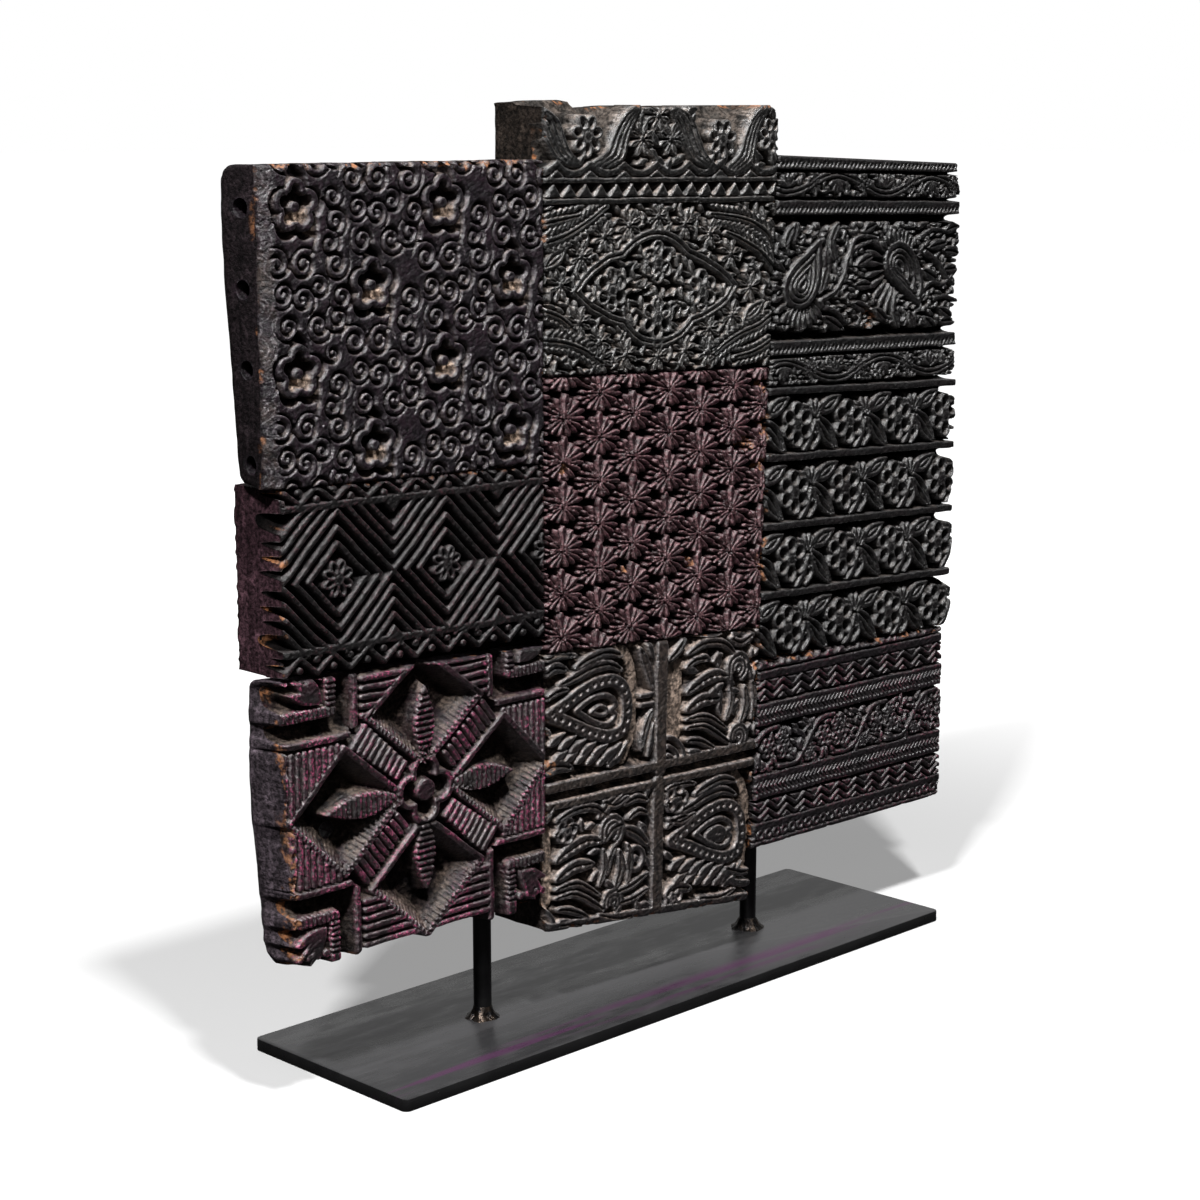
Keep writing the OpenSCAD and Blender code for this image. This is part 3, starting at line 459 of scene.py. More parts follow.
def shape_sides(face, mesh, front_count, step, side_wear, round_back):
    """Lets the rings run from the carved rim to the flat back, with worn sides and rounded back edges."""
    total = len(mesh.vertices)
    co = points_of(mesh) / MM
    size = (total - front_count) // len(RING_SHARES)
    ring_no = 1 + (np.arange(total - front_count)) // size
    side = co[front_count:]
    share = np.array(RING_SHARES)[ring_no - 1]
    start = side[:, 1] - ring_no * step
    side[:, 1] = start + (face.back - start) * share
    x, y, z = side.T.copy()
    a, b, c, d = face.corners()
    up = np.clip((z - a[1]) / (d[1] - a[1]), 0, 1)
    along = np.clip((x - a[0]) / (b[0] - a[0]), 0, 1)
    out = np.interp(up, *face.flare) * share
    x += out * np.clip(1 - 6 * along, 0, 1)
    left = a[0] + (d[0] - a[0]) * up + np.interp(up, *face.lean) + out
    right = b[0] + (c[0] - b[0]) * up + np.interp((z - b[1]) / (c[1] - b[1]), *face.fray)
    low = a[1] + (b[1] - a[1]) * along
    high = d[1] + (c[1] - d[1]) * along + np.interp(along, *face.rise)
    worn = side_wear * (0.5 + 0.5 * noise(y + z, x + z, 7, face.seed + 31))
    worn += 0.25 * side_wear * (0.5 + 0.5 * noise(3 * y, x + z, 2.4, face.seed + 32))
    turn = np.clip((y - face.back + round_back) / round_back, 0, 1)
    worn += round_back * (1 - np.sqrt(1 - 0.96 * turn ** 2))
    x = np.clip(x, left + worn, right - worn)
    z = np.clip(z, low + worn, high - worn)
    for edge, way, corner in ((low + worn, 1, face.corner[0]), (high - worn, -1, face.corner[1])):
        radius = corner * share
        dx, dz = radius - (x - left - worn), radius - way * (z - edge)
        far = np.maximum(np.hypot(dx, dz), 0.001)
        cut = (dx > 0) & (dz > 0) & (far > radius)
        x = np.where(cut, left + worn + radius - dx * radius / far, x)
        z = np.where(cut, edge + way * (radius - dz * radius / far), z)
    side[:, 0], side[:, 2] = x, z
    co[front_count:] = side
    mesh.vertices.foreach_set("co", (co * MM).ravel())


def set_attributes(face, mesh, front_count, depth, raw, row, column):
    """Gives each point its hollow, crest, edge (worn, and partly a painted highlight), raw and pale wood, for
    the material.
    """
    bulge = blur(depth, max(1, round(0.9 / face.cell))) - depth
    carved = {"hollow": np.clip(face.ground / face.deep, 0, 1)[row, column],
              "crest": np.clip(0.5 + bulge / 2.4, 0, 1)[row, column],
              "raw": raw[row, column],
              "side": 0,
              "edge": np.exp(-(face.wood[row, column] / 0.36) ** 2),
              "pale": face.pale[row, column]}
    x, y, z = points_of(mesh)[front_count:].T / MM
    lip = np.clip(1 - (y - face.front - 2) / 9, 0, 1)
    sides = {"raw": lip * ease(noise(x + z, 2 * y, 5, face.seed + 41), 0.1, 0.8) * 0.6, "side": 1}
    for name, front in carved.items():
        values = np.zeros(len(mesh.vertices), np.float32)
        values[:front_count] = front
        values[front_count:] = sides.get(name, 0)
        mesh.attributes.new(name, "FLOAT", "POINT").data.foreach_set("value", values)


def drill(block, holes, diameter):
    """Bores round holes in a block, each from a start to an end."""
    bpy.ops.object.select_all(action="DESELECT")
    bits = []
    for start, end in holes:
        p, q = Vector(start) * MM, Vector(end) * MM
        bpy.ops.mesh.primitive_cylinder_add(vertices=BIT_SIDES, radius=diameter / 2 * MM,
                                            depth=(q - p).length, location=(p + q) / 2,
                                            rotation=(q - p).to_track_quat("Z", "Y").to_euler())
        bits.append(bpy.context.object)
    for bit in bits:
        bit.select_set(True)
    bpy.context.view_layer.objects.active = bits[0]
    bpy.ops.object.join()
    bit = bpy.context.object
    bpy.ops.object.select_all(action="DESELECT")
    bpy.context.view_layer.objects.active = block
    block.select_set(True)
    hole = block.modifiers.new("hole", "BOOLEAN")
    hole.operation = "DIFFERENCE"
    hole.solver = "MANIFOLD"
    hole.object = bit
    bpy.ops.object.modifier_apply(modifier=hole.name)
    bpy.data.objects.remove(bit)
    bpy.ops.object.mode_set(mode="EDIT")
    bpy.ops.mesh.select_all(action="SELECT")
    bpy.ops.mesh.remove_doubles(threshold=SAME_POINT * MM)
    bpy.ops.mesh.quads_convert_to_tris(quad_method="BEAUTY", ngon_method="BEAUTY")
    bpy.ops.object.mode_set(mode="OBJECT")
    bpy.ops.object.shade_smooth_by_angle(angle=math.radians(SMOOTH_ANGLE))


# Materials

class Finish:
    """A material under construction: adds nodes and links them by name."""

    def __init__(self, name):
        self.material = bpy.data.materials.new(name)
        self.material.use_nodes = True
        self.tree = self.material.node_tree
        self.shader = self.tree.nodes["Principled BSDF"]
        self.place = self.add("ShaderNodeTexCoord").outputs["Object"]

    def add(self, kind, **settings):
        node = self.tree.nodes.new(kind)
        for key, value in settings.items():
            setattr(node, key, value)
        return node

    def feed(self, socket, value):
        if isinstance(value, bpy.types.NodeSocket):
            self.tree.links.new(value, socket)
        else:
            socket.default_value = value

    def attribute(self, name):
        return self.add("ShaderNodeAttribute", attribute_name=name).outputs["Fac"]

    def grain(self, size, detail=3.0, stretch=(1, 1, 1), rough=0.55, turn=0.0):
        """Noise with hills of about size millimetres, drawn out along an axis by a small stretch and turned
        in the plane of the faces."""
        mapping = self.add("ShaderNodeMapping", vector_type="TEXTURE")
        self.feed(mapping.inputs["Vector"], self.place)
        mapping.inputs["Rotation"].default_value = (0, math.radians(turn), 0)
        mapping.inputs["Scale"].default_value = [size * MM / s for s in stretch]
        texture = self.add("ShaderNodeTexNoise")
        texture.inputs["Scale"].default_value = 1.0
        texture.inputs["Detail"].default_value = detail
        texture.inputs["Roughness"].default_value = rough
        self.feed(texture.inputs["Vector"], mapping.outputs["Vector"])
        return texture.outputs["Fac"]

    def ramp(self, value, start, end, low=0.0, high=1.0):
        """Value brought from the range start to end into low to high, and held there."""
        node = self.add("ShaderNodeMapRange", interpolation_type="SMOOTHSTEP")
        limits = {"Value": value, "From Min": start, "From Max": end, "To Min": low, "To Max": high}
        for key, item in limits.items():
            self.feed(node.inputs[key], item)
        return node.outputs["Result"]

    def math(self, operation, a, b):
        node = self.add("ShaderNodeMath", operation=operation)
        self.feed(node.inputs[0], a)
        self.feed(node.inputs[1], b)
        return node.outputs[0]

    def mix(self, share, a, b, blend="MIX"):
        node = self.add("ShaderNodeMix", data_type="RGBA", blend_type=blend)
        self.feed(node.inputs["Factor"], share)
        for key, item in (("A", a), ("B", b)):
            socket = [s for s in node.inputs if s.name == key and s.type == "RGBA"][0]
            self.feed(socket, (*item, 1.0) if isinstance(item, tuple) else item)
        return [s for s in node.outputs if s.type == "RGBA"][0]

    def upward(self):
        """How far up a surface looks, from -1 to 1."""
        parts = self.add("ShaderNodeSeparateXYZ")
        self.feed(parts.inputs[0], self.add("ShaderNodeTexCoord").outputs["Normal"])
        return parts.outputs["Z"]

    def bump(self, height, distance, below=None):
        node = self.add("ShaderNodeBump")
        node.inputs["Distance"].default_value = distance * MM
        self.feed(node.inputs["Height"], height)
        if below is not None:
            self.feed(node.inputs["Normal"], below)
        return node.outputs["Normal"]

    def done(self, colour, roughness, normal, **sockets):
        self.feed(self.shader.inputs["Base Color"], colour)
        self.feed(self.shader.inputs["Roughness"], roughness)
        self.feed(self.shader.inputs["Normal"], normal)
        for name, value in sockets.items():
            self.shader.inputs[name.replace("_", " ")].default_value = value
        return self.material


RAW_WOOD = (0.215, 0.092, 0.042)


def toned(colour, share):
    return tuple(share * c for c in colour)


def dyed_wood(name, dye, tint, edge, dust, side, bare, ink=None, ink_share=1.0, dust_share=0.5, ground=0.25,
              shine=0.46, gloss=1.0):
    """Hardwood soaked with dye: tinted in patches, paler at worn edges, where the paler colour is partly a
    painted highlight, darkened deep in the carving as painted shade, dusty on its ledges, raw where chipped.
    side is the colour of its sides and bare that of weathered and dusty places and of the painted light on
    the plum blossoms' floors. ink is the colour of the last printing, left on the crests in patches as strong
    as ink_share. dust_share is how thick the dust lies and ground the share of it deep down, shine the
    roughness of the crests and gloss how much they mirror."""
    f = Finish(name)
    hollow = f.attribute("hollow")
    flank = f.attribute("side")
    speckle = f.grain(1.8, 4, rough=0.72)
    colour = f.mix(f.ramp(f.grain(23, 4), 0.42, 0.62), dye, tint)
    # Paler worn edges along every outline, their colour partly a painted highlight
    worn = f.math("MULTIPLY", f.ramp(f.attribute("edge"), 0.15, 0.9),
                  f.ramp(f.grain(5, 5), 0.3, 0.6, 0.25, 1.0))
    colour = f.mix(worn, colour, edge)
    if ink is not None:
        patch = f.math("MULTIPLY", f.ramp(f.grain(15, 3), 0.42, 0.6, 0.0, ink_share),
                       f.ramp(f.grain(1.0, 4), 0.46, 0.62))
        printed = f.math("MULTIPLY", patch, f.ramp(f.attribute("crest"), 0.57, 0.75))
        colour = f.mix(printed, colour, ink)
    # Painted shade: the colour darkens deep in the carving, where the walls shade the ground
    colour = f.mix(1.0, colour, f.ramp(hollow, 0.25, 0.9, 1.0, 0.3), "MULTIPLY")
    # Dust lies where the ground looks up
    ledge = f.ramp(f.upward(), -0.05, 0.55, 0.3, 1.0)
    settled = f.math("MULTIPLY", f.ramp(hollow, 0.02, 0.25), f.ramp(f.grain(8, 6), 0.36, 0.6))
    settled = f.math("MULTIPLY", settled, f.ramp(hollow, 0.45, 0.85, 1.0, ground))
    settled = f.math("MULTIPLY", f.math("MULTIPLY", settled, ledge), dust_share)
    colour = f.mix(settled, colour, dust)
    # Pale places: weathered wood, dust and, at the plum blossoms, painted light
    pale_wear_dust_and_light = f.math("MULTIPLY", f.attribute("pale"), f.ramp(f.grain(3.2, 6), 0.36, 0.6, 0.25, 1.0))
    colour = f.mix(pale_wear_dust_and_light, colour, bare)
    planks = f.mix(f.ramp(f.grain(3, 6, stretch=(1, 1, 0.1)), 0.35, 0.65), side, toned(side, 0.45))
    planks = f.mix(f.ramp(f.grain(11, 6), 0.54, 0.70, 0.0, 0.6), planks, toned(side, 2.4))
    colour = f.mix(flank, colour, planks)
    colour = f.mix(1.0, colour, f.ramp(speckle, 0.36, 0.64, 0.3, 1.75), "MULTIPLY")
    chipped = f.math("MULTIPLY", f.ramp(f.attribute("raw"), 0.1, 0.42), f.ramp(f.grain(2.4, 5), 0.40, 0.6))
    colour = f.mix(chipped, colour, RAW_WOOD)
    rough = f.math("ADD", f.ramp(hollow, 0.5, 0.95, shine, 0.8),
                   f.ramp(f.grain(2.5, 5), 0.4, 0.75, 0.0, 0.14))
    rough = f.math("MAXIMUM", rough, f.ramp(flank, 0.0, 1.0, 0.0, 0.65))
    rough = f.math("MAXIMUM", rough, f.ramp(f.math("MAXIMUM", chipped, pale_wear_dust_and_light), 0.0, 1.0, 0.0, 0.8))
    rough = f.math("SUBTRACT", rough, f.ramp(worn, 0.2, 0.9, 0.0, 0.1))
    gleam = f.ramp(worn, 0.15, 0.8, 0.42 * gloss, 0.95 * gloss)
    gleam = f.math("MULTIPLY", gleam, f.ramp(f.math("MAXIMUM", flank, hollow), 0.3, 0.9, 1.0, 0.2))
    f.feed(f.shader.inputs["Specular IOR Level"], gleam)
    normal = f.bump(f.grain(1.8, 3, stretch=(0.14, 1, 1), turn=-24), 0.6)
    normal = f.bump(speckle, 0.8, normal)
    return f.done(colour, rough, normal)


def rolled_steel(name, colour, scale, tint=None, shine=0.38, metal=0.5):
    """Hot-rolled steel: mill scale in streaks along the bar, fine scratches, painted shade on the faces that
    don't look up and, where asked, a heat tint along its front."""
    f = Finish(name)
    streaks = f.math("ADD", f.math("MULTIPLY", f.grain(18, 6, stretch=(0.06, 1, 1)), 0.6),
                     f.math("MULTIPLY", f.grain(6, 6, stretch=(0.3, 1, 1)), 0.4))
    shade = f.mix(f.ramp(streaks, 0.38, 0.62), colour, scale)
    scratch = f.grain(0.9, 3, stretch=(0.02, 1, 1))
    shade = f.mix(f.ramp(scratch, 0.56, 0.78, 0.0, 0.3), shade, toned(scale, 1.8))
    specks = f.ramp(f.grain(1.4, 5), 0.64, 0.72, 0.0, 0.6)
    shade = f.mix(specks, shade, toned(colour, 0.4))
    if tint is not None:
        split = f.add("ShaderNodeSeparateXYZ")
        f.feed(split.inputs[0], f.place)
        way_back = split.outputs["Y"]
        front = f.math("MULTIPLY", f.ramp(way_back, -0.047, -0.041),
                       f.ramp(way_back, -0.034, -0.027, 1.0, 0.0))
        stripes = f.ramp(f.grain(9, 3, stretch=(0.06, 1, 1)), 0.48, 0.62)
        shade = f.mix(f.math("MULTIPLY", f.math("MULTIPLY", front, stripes), 0.85), shade, tint)
    # Painted shade: faces that don't look up, such as the plate's edges and the rods' sides, darkened
    edge = f.ramp(f.upward(), 0.2, 0.7, 1.0, 0.0)
    shade = f.mix(f.math("MULTIPLY", edge, 0.8), shade, toned(colour, 0.18))
    rough = f.ramp(streaks, 0.4, 0.6, shine - 0.06, shine + 0.12)
    normal = f.bump(scratch, 0.03)
    normal = f.bump(f.grain(2.5, 5), 0.05, normal)
    return f.done(shade, rough, normal, Metallic=metal)


def weld_metal():
    """A bare weld bead, golden brown with heat."""
    f = Finish("weld_metal")
    colour = f.mix(f.ramp(f.grain(4, 4), 0.4, 0.6), (0.026, 0.019, 0.0145), (0.008, 0.0075, 0.008))
    colour = f.mix(f.ramp(f.grain(1.6, 4), 0.64, 0.74), colour, (0.16, 0.115, 0.083))
    rough = f.ramp(f.grain(3, 3), 0.3, 0.7, 0.3, 0.55)
    return f.done(colour, rough, f.bump(f.grain(1.8, 3), 0.5), Metallic=0.9)


def screw_metal():
    """Plain steel gone dull."""
    f = Finish("screw_metal")
    colour = f.mix(f.ramp(f.grain(3, 4), 0.35, 0.7), (0.36, 0.34, 0.31), (0.17, 0.14, 0.12))
    rough = f.ramp(f.grain(2, 3), 0.3, 0.7, 0.3, 0.55)
    return f.done(colour, rough, f.bump(f.grain(0.7, 3), 0.04), Metallic=1.0)


# Plum blossoms among scrolls, top left

PLUM_FIRST = (-198.0, 362.0)
PLUM_STEP = 37.2
PLUM_ROW = 63.0
PLUM_DROP = 31.2
# Each scroll about a blossom: place, radius, angle where its outer end starts, turns inward
SCROLLS = [(-9.5, -21.5, 5.4, -30, -1.35), (3, -22, 5.4, 210, 1.35), (19, -22.5, 5.2, 200, -1.3),
           (-7, -33, 4.4, 60, 1.3), (2.5, -35.5, 4.8, 120, 1.3), (10.5, -31, 4.0, -60, -1.2),
           (21.5, -35, 4.8, 20, 1.3), (-5, -45.5, 5.0, -20, 1.35), (10, -46, 5.2, 160, -1.35),
           (19.5, -43.5, 5.0, -40, 1.3), (19, -6, 4.8, 100, 1.3), (16, -14.5, 4.4, -70, -1.2)]
# The stalk under a blossom, seen from its middle
PLUM_STALK = [(7, -5), (9.4, -11), (8, -17), (4.5, -21)]


def plum_blossom(face, c):
    face.cut(lobes((c[0], c[1] - 0.9), 7.6, 6.1, 5, 90), leaf((c[0], c[1] + 8), 90, 8.5, 10, 0.3))
    face.cut(path(shifted(PLUM_STALK, *c), 3.0, 1.0))
    face.keep(lobes(c, 6.2, 4.4, 5, 90))
    inside = lobes(c, 5.8, 2.6, 5, 90)
    face.cut(inside, disc(c, 6.2))
    face.shelf(5.6, inside, disc(c, 6.2))
    face.keep(disc((c[0] - 0.6, c[1] - 0.4), 2.0))
    # Painted light: a pale patch laid as dust on the lower right of the floor, where the lamps reach past the
    # rim
    face.settle_dust_and_light(1.0, oval((c[0] + 2.0, c[1] - 4.8), 11, 5.6, 25))
    face.settle_dust_and_light(0.5, line((c[0] + 9.2, c[1] - 5), (c[0] + 8.4, c[1] - 14), 2.4))


def scroll(c, r, start, turns, tail=0.42):
    """A curl cut inward from its outer end, after a tail that widens out of nothing."""
    points = []
    widths = []
    for t in np.linspace(-tail, 1, 26):
        points.append(polar(c, r * (1 - (0.8 if t > 0 else 0.95) * t), start + 360 * turns * t))
        widths.append(2.2 - 0.5 * t if t > 0 else 2.2 + (2.2 - 0.7) * t / max(tail, 0.01))
    return path(points, widths)


def fill_curls(face, low, high, tries, gap, seed):
    """Small curls cut wherever the face is still whole for a gap round their middle."""
    rng = np.random.default_rng(seed)
    for x, z, start, hand in rng.uniform((*low, 0, -1), (*high, 360, 1), (tries, 4)):
        room = face.wood_at(x, z)
        if room > gap:
            face.cut(scroll((x, z), min(room - 1.2, 4.6), start, math.copysign(1.25, hand), 0.2))


def carve_plum():
    face = Face("plum_blossom_block", deep=7.0, wall=0.6, blank=True, seed=100, corner=(5.0, 5.0),
                flare=((0, 2.6), (0.35, 0), (0.6, -2.4), (0.85, -3.4), (1, -2.6)))
    blossoms = [(PLUM_FIRST[0] + PLUM_STEP * i, PLUM_FIRST[1] - PLUM_ROW * j - PLUM_DROP * (i % 2))
                for i in range(-1, 6) for j in range(-1, 4)]
    for c in blossoms:
        for dx, dz, r, start, turns in SCROLLS:
            face.cut(scroll((c[0] + dx, c[1] + dz), r, start, turns))
    for c in blossoms:
        plum_blossom(face, c)
    fill_curls(face, (-212, 256), (-70, 378), 900, 4.2, 101)
    return face


# Nested diamonds, middle left

DIAMOND_FIRST = -181.0
DIAMOND_STEP = 57.0
DIAMOND_Z = 217.0
DIAMOND_RINGS = (15, 21.5, 28.5, 35, 41, 47)
DIAMOND_LEAN = 1.055
CHEVRON_TOP = 246.6
CHEVRON_LOW = 189.4
TOOTH = 17.1


def zigzag(first, last, low, high, period, width):
    points = []
    half = period / 2
    for i in range(int((last - first) / half) + 2):
        points.append((first + half * i, high if i % 2 == 0 else low))
    return path(points, width)


def loop_rosette(face, c, r, petals, line_width, turn=0.0):
    """A flower of loops: each petal an oval with its middle cut out, about a round eye."""
    wide = 1.22 * r * math.tan(math.pi / petals)
    for i in range(petals):
        a = turn + 360 * i / petals
        face.keep(oval(polar(c, 0.6 * r, a), 0.8 * r, wide, a))
    for i in range(petals):
        a = turn + 360 * i / petals
        face.cut(oval(polar(c, 0.61 * r, a), 0.8 * r - 2 * line_width, wide - 1.75 * line_width, a))
    face.keep(disc(c, 0.2 * r))


def carve_chevron():
    face = Face("chevron_block", deep=7.0, wall=0.75, slope=0.018, level_x=-208, seed=200)
    left, right = -212, -66
    for n in range(3):
        cx = DIAMOND_FIRST + DIAMOND_STEP * n
        for k in DIAMOND_RINGS:
            for sx in (-1, 1):
                for sz in (-1, 1):
                    # One side of a diamond, kept to its own cell and between the rails
                    top = min(k / DIAMOND_LEAN, 29.5)
                    side = min(k, DIAMOND_STEP / 2)
                    p = (cx + sx * (k - top * DIAMOND_LEAN), DIAMOND_Z + sz * top)
                    q = (cx + sx * side, DIAMOND_Z + sz * (k - side) / DIAMOND_LEAN)
                    if abs(p[0] - q[0]) > 0.5:
                        face.keep(line(p, q, 1.75))
        face.cut(disc((cx, DIAMOND_Z), 8.6))
        loop_rosette(face, (cx, DIAMOND_Z), 7.8, 8, 1.05, 22.5)
        for z, sign in ((CHEVRON_TOP, -1), (CHEVRON_LOW, 1)):
            x = cx + DIAMOND_STEP / 2
            wedge = [(x - 5, z), (x + 5, z), (x, z + sign * 5.5)]
            face.keep(polygon(wedge if sign > 0 else wedge[::-1]))
    for z in (CHEVRON_TOP, CHEVRON_LOW):
        face.keep(line((left, z), (right, z), 2.6))
    face.keep(zigzag(-191 - 2 * TOOTH, right, 248, 254.6, TOOTH, 1.7))
    face.keep(zigzag(-201 - TOOTH, right, 180.6, 187.6, TOOTH, 1.7))
    for i in range(-2, 10):
        face.keep(disc((-191 + TOOTH * i, 249.4), 1.35), disc((-182.5 + TOOTH * i, 253.2), 1.3))
        face.keep(disc((-201 + TOOTH * i, 182.6), 1.35), disc((-192.5 + TOOTH * i, 186.0), 1.3))
    return face


# The four-petalled flower, bottom left

CORE = (-137.0, 122.3)
KITES = [[(-168, 158), (-137, 133), (-106, 158), (-137, 181)],
         [(-208, 121), (-180, 95), (-149, 122), (-180, 147.5)],
         [(-124, 122), (-93, 96), (-68, 122), (-93, 147)],
         [(-166, 85.5), (-137, 60), (-106, 86), (-137, 111)]]
# Each petal's leaf: foot, direction, length
PETAL_LEAVES = [((-137, 133.5), 90, 33), ((-149.5, 121.8), 180, 40), ((-124, 121.8), 0, 36),
                ((-137, 111), 270, 31)]


def ribs(face, p, q, length, pitch, width):
    """Short scored lines square to the line from p to q, on its left."""
    p, q = np.array(p, float), np.array(q, float)
    d = (q - p) / np.hypot(*(q - p))
    side = np.array([-d[1], d[0]]) * length
    for s in np.arange(pitch / 2, np.hypot(*(q - p)), pitch):
        face.score(line(p + d * s, p + d * s + side, width))


def bars(face, start, step, count, reach, width):
    """Parallel ridges, each a step from the last, along reach."""
    for i in range(count):
        p = np.array(start, float) + np.array(step, float) * i
        face.keep(line(p, p + np.array(reach, float), width))


def corner_panel(face, sx, sz):
    """The rails, ribbed frame and spray in one corner."""
    rail_x = -174.0 if sx < 0 else -101.0
    rail_z = 152.5 if sz > 0 else 91.0
    edge_x = -213.0 if sx < 0 else -66.0
    edge_z = 182.0 if sz > 0 else 57.0
    frame_x = rail_x + sx * 12
    frame_z = rail_z + sz * 11.5
    for x, z, width in ((rail_x, rail_z, 2.2), (frame_x, frame_z, 4.2)):
        face.keep(line((edge_x, z), (x, z), width), line((x, z), (x, edge_z), width))
    for s in np.arange(0, 27, 2.3):
        face.score(line((frame_x + sx * s, frame_z - 2.6), (frame_x + sx * s, frame_z + 2.6), 0.9))
    for s in np.arange(2, 17, 2.3):
        face.score(line((frame_x - 2.6, frame_z + sz * s), (frame_x + 2.6, frame_z + sz * s), 0.9))
    for turn in (18, 38, 58):
        a = turn if sx > 0 else 180 - turn
        face.keep(leaf((frame_x + sx * 4.5, frame_z + sz * 4), a * sz, 17, 4.2))
    for s in np.arange(5, 26, 4.4):
        face.keep(disc((frame_x + sx * s, frame_z + sz * 15), 1.5))


def carve_quatrefoil():
    face = Face("quatrefoil_block", deep=9.0, wall=1.2, seed=300, corner=(9.0, 3.0),
                lean=((0, 5.0), (0.35, 4.0), (0.7, 1.0), (1, 0)), flare=((0, -4.5), (0.5, -7.0), (1, -4.0)))
    for x0, x1 in ((-170, -140), (-103, -134)):
        bars(face, (x0, 178), (0, -3.8), 6, (x1 - x0, 0), 1.9)
        bars(face, (x0, 81.5), (0, -3.7), 6, (x1 - x0, 0), 1.9)
    for x0 in (-209.5, -93):
        bars(face, (x0, 149), (3.3, 0), 9, (0, -26), 1.9)
        bars(face, (x0, 94), (3.3, 0), 9, (0, 26), 1.9)
    for sx in (-1, 1):
        for sz in (-1, 1):
            corner_panel(face, sx, sz)
    for kite in KITES:
        face.cut(polygon(np.array(kite) + 0.07 * (np.array(kite) - np.mean(kite, axis=0))))
    for turn in (39, 141, 219, 321):
        foot = polar(CORE, 15, turn)
        tip = polar(CORE, 45, turn)
        face.cut(line(foot, tip, 11))
        for s in np.arange(17, 46, 3.5):
            c = polar(CORE, s, turn)
            half = 2.6 + 0.055 * s
            face.keep(line(polar(c, half, turn + 90), polar(c, half, turn - 90), 1.9))
    for kite, (foot, turn, length) in zip(KITES, PETAL_LEAVES):
        face.cut(polygon(kite))
        face.bank(1.1, 1.25, polygon(kite))
        for side, (p, q) in enumerate(zip(kite, kite[1:] + kite[:1])):
            face.keep(line(p, q, 2.2))
            if side < 2:
                ribs(face, p, q, 4.6, 2.5, 1.1)
        face.keep(leaf(foot, turn, length, 10))
        d = np.array([math.cos(math.radians(turn)), math.sin(math.radians(turn))])
        n = np.array([-d[1], d[0]])
        for s in np.arange(3, length - 2, 2.6):
            c = np.array(foot) + d * s
            face.score(line(c - 4.8 * n, c + 4.8 * n, 1.2))
    face.keep(lobes(CORE, 8.0, 7.0, 4, 0))
    face.cut(lobes(CORE, 7.6, 5.2, 4, 0))
    face.keep(disc(CORE, 4.4))
    face.splinter(line((-204, 62), (-208, 118), 3.6), line((-211, 128), (-212, 176), 3.0))
    return face


# Fillings that several carvings share

def closed(points):
    return list(points) + [points[0]]


def scaled(points, centre, share):
    """Points drawn toward a centre by a share."""
    return [(centre[0] + (x - centre[0]) * share, centre[1] + (z - centre[1]) * share) for x, z in points]


def shifted(points, dx, dz):
    return [(x + dx, z + dz) for x, z in points]


def between(left, right, share):
    return [(a[0] + (b[0] - a[0]) * share, a[1] + (b[1] - a[1]) * share) for a, b in zip(left, right)]


def smooth(points, steps=5):
    """Points on a flowing curve through the given ones."""
    p = [points[0]] + list(points) + [points[-1]]
    out = []
    for a, b, c, d in zip(p, p[1:], p[2:], p[3:]):
        for i in range(steps):
            t = i / steps
            out.append(tuple(0.5 * (2 * b[k] + (c[k] - a[k]) * t
                                    + (2 * a[k] - 5 * b[k] + 4 * c[k] - d[k]) * t * t
                                    + (3 * b[k] - a[k] - 3 * c[k] + d[k]) * t ** 3) for k in (0, 1)))
    return out + [points[-1]]


def petals(face, c, r, count, width, turn=90.0, eye=0.16):
    """An open flower of plain petals about an eye."""
    for i in range(count):
        a = turn + 360 * i / count
        face.keep(leaf(polar(c, 0.14 * r, a), a, 0.88 * r, width, 0.62))
        face.score(line(polar(c, 0.45 * r, a), polar(c, 0.85 * r, a), 0.55))
    face.keep(disc(c, eye * r))


def fill_leaves(face, low, high, tries, length, width, gap, seed):
    """Small leaves cut wherever the ground is still bare for a gap round their middle."""
    rng = np.random.default_rng(seed)
    spots = rng.uniform(low, high, (tries, 2))
    turns = rng.uniform(0, 180, tries)
    grow = rng.uniform(0.8, 1.2, tries)
    for (x, z), turn, g in zip(spots, turns, grow):
        if face.wood_at(x, z) < -gap:
            face.keep(leaf(polar((x, z), -length * g / 2, turn), turn, length * g, width * g))


def run_along(curve):
    """How far along a curve each of its points lies."""
    return np.concatenate([[0], np.cumsum(np.hypot(*np.diff(np.array(curve), axis=0).T))])


def point_at(curve, run, s):
    """The point of a curve at the length s of its run."""
    x, z = np.array(curve).T
    return np.array([np.interp(s, run, x), np.interp(s, run, z)])


def pinnate(face, points, left, right, pitch=3.3, width=1.6):
    """A rib through points with slanted leaflets, left and right of it as long as said."""
    curve = np.array(smooth(points))
    face.keep(path(curve, width * 2.6, width * 1.4))
    face.score(path(curve, 0.6))
    run = run_along(curve)
    for s in np.arange(pitch, run[-1] - pitch / 2, pitch):
        p, q = point_at(curve, run, s), point_at(curve, run, s + 0.5)
        turn = math.degrees(math.atan2(*(q - p)[::-1]))
        for side, reach in ((1, left), (-1, right)):
            if reach:
                foot = polar(p, width * 1.9, turn + side * 70)
                face.keep(line(foot, polar(p, reach, turn + side * 50), width))


# The medallion, top middle

